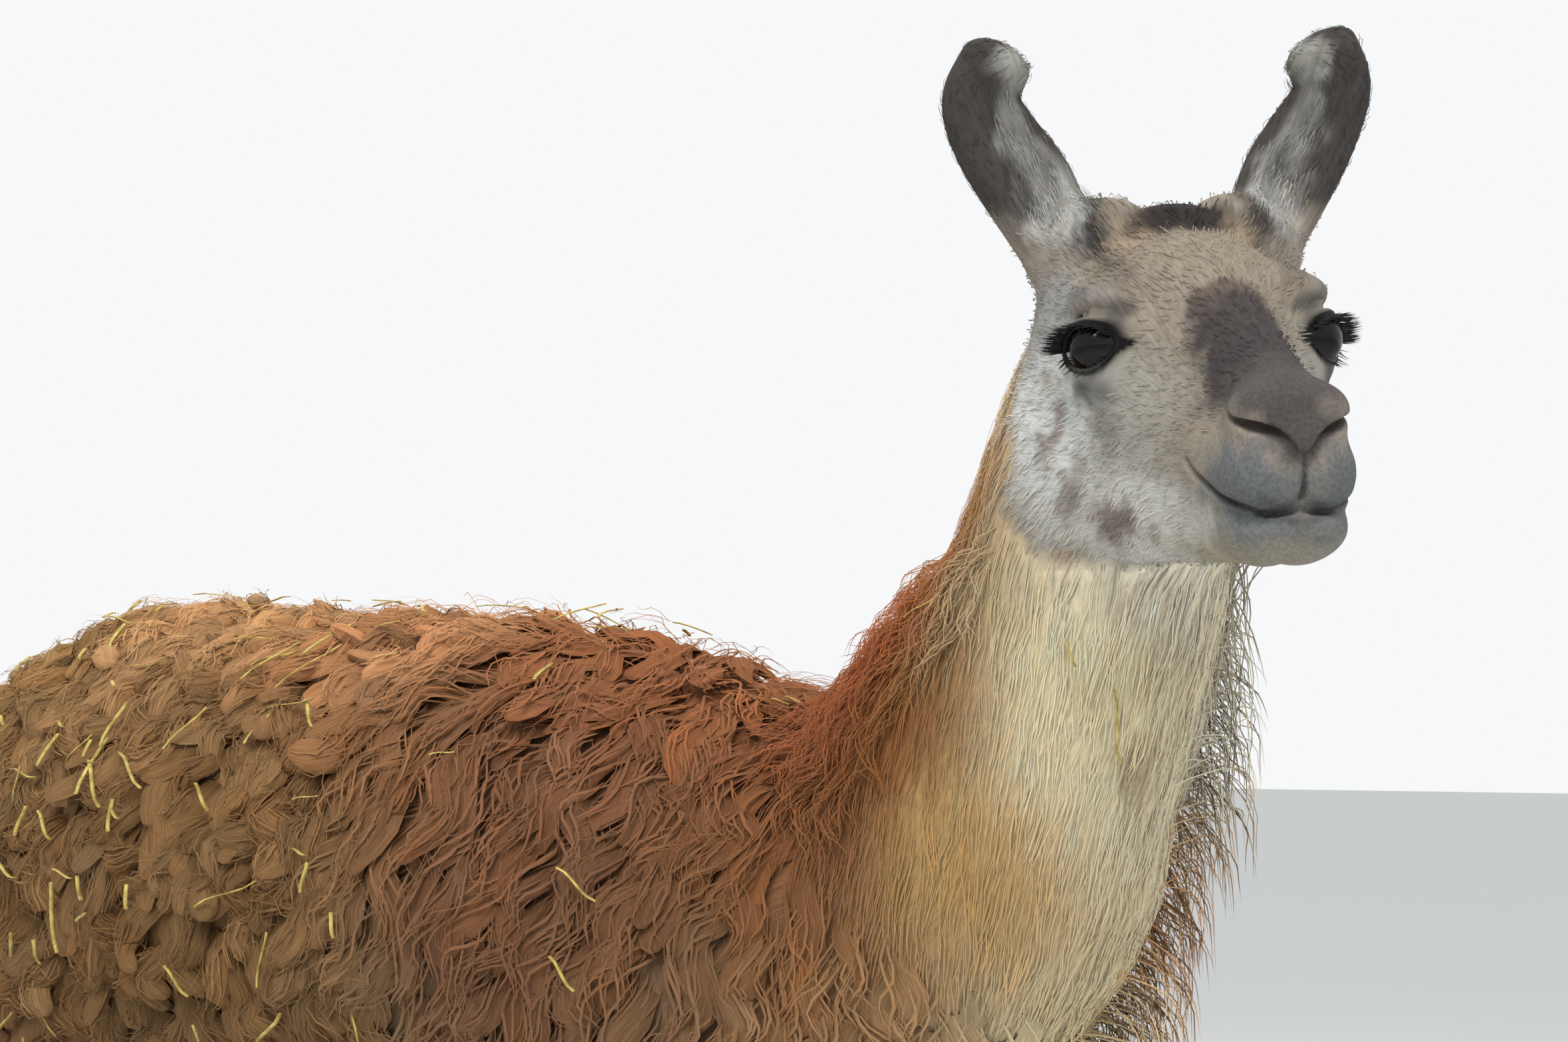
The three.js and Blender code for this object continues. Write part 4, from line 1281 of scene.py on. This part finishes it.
def coat_piece(name, locks, paths, half, own, roots, ups, toward, even, dark=0.7, vary=0.06, level=None,
               fibres=2, thin=0.5, sides=3, ridges=0.0, bright=0.06, slot="fleece", random=None,
               finish=wool, form=swell, s=None):
    """One mesh of tufts along the given paths. Toward is the way each ring should catch the light, and
    even is how far it does so instead of by its own roundness."""
    rings = paths.shape[1]
    s = np.linspace(0, 1, rings) if s is None else s
    level = np.zeros(len(roots)) if level is None else level
    widths = half[:, None] * form(s)
    paths[..., 2] = np.maximum(paths[..., 2], FLOOR_ROOM)
    piece = tuft_mesh(name, paths, widths, ups, finish, thin, sides, ridges)
    tone = coat_colour(roots) * (1 + vary * locks.shade[own] + vary * level)[:, None]
    tone *= 1 + locks.warmth[own][:, None] * np.array([1.0, 0.1, -0.8])
    # Painted shade at the root of each tuft, deep in the coat, fading out along it: dark is its share at
    # the root, and bright makes the tips lighter.
    fade = dark + (1 - dark) * np.clip(s * 2.2, 0, 1) ** 0.8 + bright * s**2
    colour = np.clip(tone[:, None] * fade[None, :, None], 0, 1)
    colour = np.concatenate([np.repeat(colour[:, :-1], sides, axis=1), colour[:, -1:]], axis=1)
    give_colour(piece.data, "coat", colour.reshape(-1, 3))
    own_normals = np.empty(len(piece.data.vertices) * 3, np.float32)
    piece.data.vertices.foreach_get("normal", own_normals)
    toward = np.concatenate([np.repeat(toward[:, :-1], sides, axis=1), toward[:, -1:]], axis=1)
    normals = own_normals.reshape(-1, 3) * (1 - even) + toward.reshape(-1, 3) * even
    piece.data.normals_split_custom_set_from_vertices(unit(normals))
    # one small patch for each tuft on the bake map, and fibres that run along it on the other
    edges = [(a, a + 1) for a in range(sides)]
    quad_u = np.array([(a, b, b, a) for r in range(rings - 2) for a, b in edges]).ravel() / sides
    quad_v = np.array([(s[r], s[r], s[r + 1], s[r + 1]) for r in range(rings - 2) for _ in edges]).ravel()
    tip_u = np.array([(a, b, a + 0.5) for a, b in edges]).ravel() / sides
    tip_v = np.array([(s[-2], s[-2], 1)] * sides).ravel()
    patch = unwrap(roots)
    us, vs, fus, fvs = [], [], [], []
    shift = random.uniform(0, 900, len(roots))[:, None]
    for part_u, part_v in ((quad_u, quad_v), (tip_u, tip_v), (np.arange(sides) / sides, np.zeros(sides))):
        us.append((patch[:, :1] + 0.003 * part_u).ravel())
        vs.append((patch[:, 1:] + 0.003 * part_v).ravel())
        fus.append((shift + fibres * sides * part_u).ravel())
        fvs.append((shift + locks.long[own][:, None] * part_v).ravel())
    put_on_map(piece, "OFBake", np.concatenate(us), np.concatenate(vs))
    put_on_map(piece, "fibre", np.concatenate(fus), np.concatenate(fvs))
    return piece


def thick_locks(name, locks, width, rings=8, sides=8, even=0.45, sunk=0.0, **look):
    """Each lock as one thick soft tuft with a blunt end, sunk below the lock's own line."""
    random = np.random.default_rng(1)
    own = np.arange(len(locks.roots))
    s = np.sin(np.linspace(0, math.pi / 2, rings))
    paths, _ = locks.at(own[:, None], s[None] + 0 * own[:, None])
    paths[:, 0] -= locks.ups * 0.0015
    paths -= locks.ups[:, None] * sunk * s[:, None]
    toward = np.repeat(locks.ups[:, None], rings, axis=1)
    coat_piece(name, locks, paths, width * locks.girth, own, locks.roots, locks.ups, toward, even,
               sides=sides, random=random, finish=curly_wool, form=rounded, s=s, **look)


def wisps(name, locks, seed, each, width, half, rings=6, spread=2.0, lift=1.0, frizz=0.003, fly=0.0,
          even=0.75, sides=3, reach=(0.0, 1.05), **look):
    """Fine strands that run round the outside of the thick locks, and leave them towards their tips.
    Each is how many there are to a lock, width is the lock's half width, and half the strand's."""
    random = np.random.default_rng(seed)
    own = np.repeat(np.arange(len(locks.roots)), each)
    count = len(own)
    s = np.linspace(0, 1, rings)
    first = random.uniform(reach[0], 0.45, count)
    last = np.minimum(first + random.uniform(0.45, 0.9, count), random.uniform(0.85, reach[1], count))
    where = first[:, None] + (last - first)[:, None] * s
    middle, along = locks.at(own[:, None], where)
    turn = random.uniform(-spread, spread, count)[:, None] + random.normal(0, 0.5, count)[:, None] * s
    side = unit(np.cross(locks.ups[own][:, None], along))
    crest = np.cross(along, side)
    out = np.cos(turn)[..., None] * crest + np.sin(turn)[..., None] * side
    radius = (width * locks.girth[own])[:, None] * swell(where) * lift
    radius = radius + fly * random.uniform(0, 1, (count, 1)) * s**2
    paths = middle + out * radius[..., None]
    stir = random.normal(0, 1, (count, 2, 3))
    paths += frizz * (stir[:, None, 0] * (s**1.5)[:, None]
                      + stir[:, None, 1] * np.sin(math.tau * s)[:, None] * 0.5)
    toward = unit(out * 0.6 + locks.ups[own][:, None] * 0.6)
    roots = locks.roots[own] + 0.3 * (middle[:, 0] - locks.roots[own])
    # Painted shade: strands that run round the sides of a lock are darker than those on its crest, with a
    # random tone on top.
    shade = -0.9 * (1 - np.cos(turn[:, 0])) + random.normal(0, 0.7, count)
    coat_piece(name, locks, paths, half * random.uniform(0.7, 1.2, count), own, roots, locks.ups[own],
               toward, even, level=shade, sides=sides, random=random, **look)


def hair(name, locks, chosen, seed, spacing, half, rings=4, gather=0.3, frizz=0.001, even=0.8, sides=3,
         sink=0.0015, **look):
    """Tufts rooted all over the skin, each leaning with the lock it is nearest to."""
    random = np.random.default_rng(seed)
    roots, ups = scatter(chosen, spacing, random)
    tree_of = kdtree.KDTree(len(locks.roots))
    for i, head in enumerate(locks.roots):
        tree_of.insert(head, i)
    tree_of.balance()
    own = np.array([tree_of.find(root)[1] for root in roots])
    count = len(roots)
    s = np.linspace(0, 1, rings)
    axis, _ = locks.at(own[:, None], s[None] + np.zeros((count, 1)))
    offset = roots - locks.roots[own]
    cross, lies, out = locks.cross[own], locks.lies[own], locks.ups[own]
    side_way = np.sum(offset * cross, axis=1)[:, None]
    long_way = np.sum(offset * lies, axis=1)[:, None]
    narrow = 1 - gather * np.clip(s * 1.15, 0, 1) ** 0.8
    # Each tuft's height in its lock also sets its colour: painted shade on tufts that lie lower, lighter on
    # those that lie higher.
    level = random.uniform(-1, 1, count)
    high = level[:, None] * locks.spacing * 0.3 * np.sin(math.pi * np.clip(s, 0, 0.9))
    paths = axis + cross[:, None] * (side_way * narrow)[..., None] + out[:, None] * high[..., None]
    paths += lies[:, None] * (long_way * (1 - 0.25 * s))[..., None]
    stretch = random.uniform(0.8, 1.12, count)[:, None, None]
    paths = roots[:, None] + (paths - paths[:, :1]) * stretch
    paths += ups[:, None] * (locks.start * locks.rise[own][..., None] - sink)
    stir = random.normal(0, 1, (count, 2, 3))
    paths += frizz * (stir[:, None, 0] * (s**1.5)[:, None]
                      + stir[:, None, 1] * np.sin(math.tau * s)[:, None] * 0.5)
    toward = np.repeat(unit(ups + 0.2 * level[:, None] * cross)[:, None], rings, axis=1)
    coat_piece(name, locks, paths, half * random.uniform(0.75, 1.25, count), own, roots, ups, toward, even,
               level=level, sides=sides, random=random, **look)


x, y, z = middle_of.T
head_part = near_head(middle_of) > 0.5
at_middle = to_head(middle_of)
grooved = np.min([crease(at_middle) for crease in creases], axis=0) < 0.004
left_middle = at_middle * np.where(at_middle[:, :1] < 0, (-1, 1, 1), 1)
from_eye = np.linalg.norm(left_middle - np.array(EYE_SEAT), axis=1)
by_eye = from_eye < np.where(at_middle[:, 1] < -0.010, 0.041, 0.034)
muzzle_tip = -at_middle[:, 1] - 0.35 * at_middle[:, 2] > 0.150
bare_part = grooved | muzzle_tip | by_eye
ear_part = head_part & (ear_share(middle_of) > 0.45)
face_part = head_part & ~ear_part & ~bare_part
collar = (middle_of - np.array([-0.008, -0.330, 0.965])) @ np.array([-0.15, -0.64, 0.76])
neck_part = ~head_part & (collar > -0.02)
tail_part = (y > 0.865) & ~head_part
low_part = (z < 0.60) & ~tail_part
body_part = ~head_part & ~neck_part & ~tail_part & ~low_part
neck_side = NECK_LINE.locate(middle_of)[1]
sideways = np.where(head_part, at_middle[:, 0], np.where(neck_part, neck_side, x))
border = y + 0.025 * ripple(middle_of, 0.12, 8) - 0.095
curly = body_part & (border > 0)
wavy = body_part & (border <= 0)
back_way = facing[corner_of].mean(axis=1) @ (-0.35, 0.90, 0.25)
fringe_line = Limb(FRINGE, 0)
fringe_place = fringe_line.locate(middle_of)
fringe_part = (np.hypot(fringe_place[1], fringe_place[2]) < 0.100) & ~head_part
fringe_part &= (y < -0.25) & (z > 0.76) & (z < 1.17)
fringe_part &= facing[corner_of].mean(axis=1) @ (0.57, -0.82, 0.0) > 0.1
mane_part = neck_part & (back_way > 0.62) & (z < 1.17)

for word, here, more, fine, broad in (("right", sideways < 0, 14, 0.0037, 0.0088),
                                      ("left", sideways >= 0, 7, 0.0048, 0.0122)):
    for part, there, seed in (("barrel", y < 0.50, 30), ("rump", y >= 0.50, 31)):
        locks = Locks(curly & here & there, seed + 9, 0.034, 0.075, rings=6, rise=0.25, stray=0.4, dip=0.3)
        thick_locks(f"under_{part}_{word}", locks, 0.019, rings=6, sides=5, even=0.8, fibres=14, thin=0.5,
                    dark=0.50)
        locks = Locks(curly & here & there, seed, 0.0285, 0.066, rings=10, curl=0.012, turns=0.9, rise=0.62,
                      stray=0.40, dip=0.75)
        thick_locks(f"curls_{part}_{word}", locks, 0.0130, rings=8, sides=6, even=0.35, fibres=14,
                    thin=0.85, dark=0.62, vary=0.13, bright=0.22)
        wisps(f"strands_{part}_{word}", locks, seed, more, 0.0130, 0.0009, rings=6, spread=2.2, lift=1.04,
              frizz=0.0036, thin=0.5, even=0.5, fibres=2, dark=0.72, vary=0.15, bright=0.28)
        wisps(f"fleece_{part}_{word}", locks, seed + 5, max(more - 7, 4), 0.0138, 0.00045, rings=5,
              lift=1.1, fly=0.016, frizz=0.006, dark=0.9, vary=0.10)
    locks = Locks(wavy & here, 32, 0.026, 0.085, rings=12, curl=0.003, turns=0.6, wave=0.0060, waves=1.2,
                  rise=0.72, stray=0.22)
    thick_locks(f"under_shoulder_{word}", locks, 0.0125, rings=8, sides=4, even=0.85, fibres=16, thin=0.4,
                dark=0.8, sunk=0.009)
    hair(f"waves_shoulder_{word}", locks, wavy & here, 33, broad * 0.93, 0.0013, rings=8, gather=0.35,
         frizz=0.0030, even=0.75, thin=0.5, dark=0.85, vary=0.06)
    wisps(f"fleece_shoulder_{word}", locks, 22, max(more - 9, 3), 0.0120, 0.0005, rings=6, lift=1.1,
          fly=0.010, frizz=0.004, dark=0.88)
    locks = Locks(neck_part & here, 23, 0.012, 0.046, rings=5, wave=0.001, waves=0.7, rise=0.32, stray=0.06,
                  start=0.15)
    hair(f"neck_hair_{word}", locks, neck_part & here, 42, fine, 0.00048, rings=4, gather=0.25,
         frizz=0.0007, thin=0.4, even=0.9, dark=0.95, vary=0.035)
    locks = Locks(low_part & here, 24, 0.017, 0.022, rings=4, rise=0.7, stray=0.08)
    hair(f"leg_hair_{word}", locks, low_part & here, 24, 0.0092, 0.0021, frizz=0.0006, thin=0.3, dark=0.85,
         vary=0.05)
    locks = Locks(face_part & here, 25, 0.009, 0.012, rings=4, rise=0.20, stray=0.07, dip=0.8, on_face=True)
    hair(f"head_hair_{word}", locks, face_part & here, 25, 0.0038, 0.00042, rings=3, gather=0.2,
         frizz=0.0002, thin=0.12, even=0.5, dark=0.99, vary=0.05, sink=0.0003, slot="face")
    locks = Locks(ear_part & here, 26, 0.007, 0.013, rings=4, rise=0.42, stray=0.10, dip=0.3, on_face=True)
    hair(f"ear_hair_{word}", locks, ear_part & here, 26, 0.0032, 0.00040, rings=4, frizz=0.0006, thin=0.4,
         dark=0.9, vary=0.05, bright=0.35, slot="ear")
locks = Locks(tail_part, 27, 0.020, 0.075, rings=6, curl=0.003, wave=0.004, waves=1.2, rise=1.0, stray=0.12)
hair("tail_hair", locks, tail_part, 27, 0.0085, 0.0022, rings=6, gather=0.5, thin=0.5, even=0.3, dark=0.7)
locks = Locks(mane_part, 29, 0.014, 0.050, rings=8, curl=0.005, wave=0.003, waves=0.7, rise=1.35,
              stray=0.30, start=0.1)
hair("mane", locks, mane_part, 29, 0.0047, 0.00052, rings=7, gather=0.3, frizz=0.0035, thin=0.6, even=0.6,
     dark=0.9)
locks = Locks(fringe_part, 28, 0.016, 0.100, rings=3)
random = np.random.default_rng(28)
roots, ups = scatter(fringe_part, 0.0082, random)
share = fringe_line.locate(roots)[0] * len(fringe_line.length)
low = np.minimum(share.astype(int), len(fringe_line.length) - 1)
part_way = (share - low)[:, None]
turn = random.uniform(0, math.tau, len(roots))
spread = np.sqrt(random.uniform(0, 1, (len(roots), 1))) * 0.9
aim = fringe_line.centre[low] * (1 - part_way) + fringe_line.centre[low + 1] * part_way
radius = fringe_line.wide[low][:, None]
aim += spread * radius * (np.cos(turn)[:, None] * fringe_line.side[low]
                          + np.sin(turn)[:, None] * fringe_line.out[low])
s = np.linspace(0, 1, 9)[None, :, None]
drop = random.uniform(0.03, 0.08, (len(roots), 1, 1))
sway = random.normal(0, 1, (len(roots), 2, 3))
paths = roots[:, None] + (aim - roots)[:, None] * np.sin(np.clip(s * 1.5, 0, 1) * math.pi / 2)
paths = paths - np.array([0, 0, 1.0]) * drop * s**1.6
paths += 0.005 * (sway[:, None, 0] * s**1.5 + sway[:, None, 1] * np.sin(s * 5.0) * 0.5)
own = random.integers(0, len(locks.roots), len(roots))
half = np.where(NECK_LINE.locate(roots)[1] > 0.035, 1, -1)
toward = unit(np.column_stack([half * 0.60, half * 0 - 0.48, half * 0 + 0.64]))
coat_piece("throat_fringe", locks, paths, 0.0006 * random.uniform(0.7, 1.3, len(roots)), own, aim, ups,
           np.repeat(toward[:, None], 9, axis=1), 1.0, dark=1.0, thin=0.8, random=random)

# ---------- Straw ----------
# Bits of dry straw from the barn, caught in the curls of the barrel and a few on the shoulder and
# neck: flat bent stalks of different lengths, lying in the fleece.

straw = Finish("straw", Roughness=0.55, Specular_IOR_Level=0.3)
straw_grain = straw.add("ShaderNodeTexNoise", {},
                        {"Vector": straw.add("ShaderNodeTexCoord", out=3), "Scale": 90.0})
straw.feed("Base Color", straw.add("ShaderNodeValToRGB", {"stops": [(0.3, "8f7a3c"), (0.7, "d8c26e")]},
                                   {"Fac": straw_grain}))
straw.bump(straw_grain, 0.3, 0.0006)


def straw_tree():
    """Nodes that strew bent stalks over a surface, a few for each tenth of a metre square."""
    tree = bpy.data.node_groups.new("straw_in_the_coat", "GeometryNodeTree")
    for word, kind, direction in (("Geometry", "Geometry", "INPUT"),
                                  ("Number per square metre", "Float", "INPUT"),
                                  ("Length", "Float", "INPUT"), ("Half width", "Float", "INPUT"),
                                  ("Material", "Material", "INPUT"), ("Geometry", "Geometry", "OUTPUT")):
        tree.interface.new_socket(word, in_out=direction, socket_type=f"NodeSocket{kind}")

    def node(kind, settings=None, **sockets):
        new = tree.nodes.new(kind)
        for name, setting in (settings or {}).items():
            setattr(new, name, setting)
        for name, value in sockets.items():
            socket = new.inputs[int(name[1:]) if name[1:].isdigit() else name.replace("_", " ")]
            if isinstance(value, bpy.types.NodeSocket):
                tree.links.new(value, socket)
            else:
                socket.default_value = value
        return new

    given = node("NodeGroupInput").outputs
    spots = node("GeometryNodeDistributePointsOnFaces", Mesh=given[0], Density=given[1], Seed=4)
    stalk = node("GeometryNodeCurvePrimitiveBezierSegment", Resolution=5, Start=(-0.5, 0, 0),
                 End=(0.5, 0, 0.02), Start_Handle=(-0.2, 0.10, 0.05), End_Handle=(0.2, -0.12, 0.06))
    ring = node("GeometryNodeCurvePrimitiveQuadrilateral", Width=2.2, Height=0.7)
    long = node("FunctionNodeRandomValue", {"data_type": "FLOAT"}, _2=0.25, _3=1.3, Seed=5)
    turned_by = node("FunctionNodeRandomValue", {"data_type": "FLOAT_VECTOR"}, _0=(-0.30, -0.30, 0),
                     _1=(0.30, 0.30, 6.28), Seed=6)
    stalk_length = node("ShaderNodeMath", {"operation": "MULTIPLY"}, _0=long.outputs[1], _1=given[2])
    sized = node("ShaderNodeCombineXYZ", X=stalk_length.outputs[0], Y=stalk_length.outputs[0],
                 Z=stalk_length.outputs[0])
    lain = node("FunctionNodeRotateRotation", {"rotation_space": "LOCAL"},
                Rotation=spots.outputs["Rotation"],
                Rotate_By=node("FunctionNodeEulerToRotation", Euler=turned_by.outputs[0]).outputs[0])
    lines = node("GeometryNodeInstanceOnPoints", Points=spots.outputs["Points"], Instance=stalk.outputs[0],
                 Rotation=lain.outputs[0], Scale=sized.outputs[0])
    real = node("GeometryNodeRealizeInstances", Geometry=lines.outputs[0])
    made = node("GeometryNodeCurveToMesh", Curve=real.outputs[0], Profile_Curve=ring.outputs[0],
                Scale=given[3], Fill_Caps=True)
    kept = node("GeometryNodeRealizeInstances", Geometry=made.outputs[0])
    done = node("GeometryNodeSetMaterial", Geometry=kept.outputs[0], Material=given[4])
    node("NodeGroupOutput", Geometry=done.outputs[0])
    return tree


def strew(name, chosen, number, length, half):
    """Straw over the chosen triangles of the skin, held out at the top of the coat."""
    which = np.flatnonzero(chosen)
    depth = np.maximum(-by_region(coat_outline, middle_of[which]), 0.002)
    lifted = triangle[which] + (facing[corner_of[which]].mean(axis=1) * (depth * 0.9)[:, None])[:, None]
    patch = new_piece(name, lifted.reshape(-1, 3), np.arange(len(which) * 3).reshape(-1, 3), straw)
    modifier = patch.modifiers.new("straw", "NODES")
    modifier.node_group = straw_tree()
    sockets = [item.identifier for item in modifier.node_group.interface.items_tree
               if item.in_out == "INPUT"]
    for identifier, value in zip(sockets[1:], (number, length, half, straw.data)):
        modifier[identifier] = value
    bpy.context.view_layer.update()
    strewn = bpy.data.meshes.new_from_object(patch.evaluated_get(bpy.context.evaluated_depsgraph_get()))
    patch.modifiers.remove(modifier)
    patch.data = strewn
    return patch


right_side = sideways < 0.05
strew("straw_barrel", curly & (z > 0.75) & (y < 0.75) & right_side, 240.0, 0.050, 0.0014)
strew("straw_shoulder", wavy & (z > 0.80) & (y > -0.14) & right_side, 70.0, 0.048, 0.0013)
strew("straw_neck", neck_part & right_side & (z < 1.15), 45.0, 0.040, 0.0010)

# ---------- Floor and light ----------
# A plain pale floor and backdrop, an even white sky and one large soft lamp high on the right.

floor_mesh = bpy.data.meshes.new("floor")
floor_mesh.from_pydata([(-40, -40, 0), (40, -40, 0), (40, 40, 0), (-40, 40, 0)], [], [(0, 1, 2, 3)])
floor = bpy.data.objects.new("floor", floor_mesh)
bpy.context.scene.collection.objects.link(floor)
paint = Finish("pale_floor", Base_Color=(0.80, 0.80, 0.79, 1), Roughness=0.9, Specular_IOR_Level=0.1)
floor_mesh.materials.append(paint.data)
floor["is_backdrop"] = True

sky = bpy.data.worlds.new("sky")
bpy.context.scene.world = sky
sky.use_nodes = True
tree = sky.node_tree
tree.nodes.clear()
path = tree.nodes.new("ShaderNodeLightPath")
seen = tree.nodes.new("ShaderNodeMath")
seen.operation = "MAXIMUM"
tree.links.new(path.outputs["Is Camera Ray"], seen.inputs[0])
tree.links.new(path.outputs["Is Glossy Ray"], seen.inputs[1])
lights = tree.nodes.new("ShaderNodeBackground")
lights.inputs["Color"].default_value = (0.95, 0.98, 1.0, 1)
lights.inputs["Strength"].default_value = 0.75
shown = tree.nodes.new("ShaderNodeBackground")
shown.inputs["Color"].default_value = (0.93, 0.94, 0.95, 1)
shown.inputs["Strength"].default_value = 1.0
both = tree.nodes.new("ShaderNodeMixShader")
tree.links.new(seen.outputs[0], both.inputs[0])
tree.links.new(lights.outputs[0], both.inputs[1])
tree.links.new(shown.outputs[0], both.inputs[2])
tree.links.new(both.outputs[0], tree.nodes.new("ShaderNodeOutputWorld").inputs[0])

for name, place, size, power in (("soft_lamp", (-2.2, -1.6, 3.4), 2.2, 82),
                                 ("back_lamp", (1.8, 1.4, 3.2), 2.4, 70),
                                 ("small_lamp", (-2.3, -1.5, 3.2), 0.5, 14)):
    lamp = bpy.data.objects.new(name, bpy.data.lights.new(name, "AREA"))
    lamp.data.size = size
    lamp.data.energy = power
    lamp.visible_glossy = name == "small_lamp"
    lamp.location = place
    lamp.rotation_euler = (Vector((0, -0.1, 0.9)) - lamp.location).to_track_quat("-Z", "Y").to_euler()
    bpy.context.scene.collection.objects.link(lamp)

bpy.context.scene.view_settings.view_transform = "Standard"


def plain(value):
    return [plain(item) for item in value] if hasattr(value, "__len__") else float(value)


{"cad": plain(CAD_BOX), "visual": plain(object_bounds())}
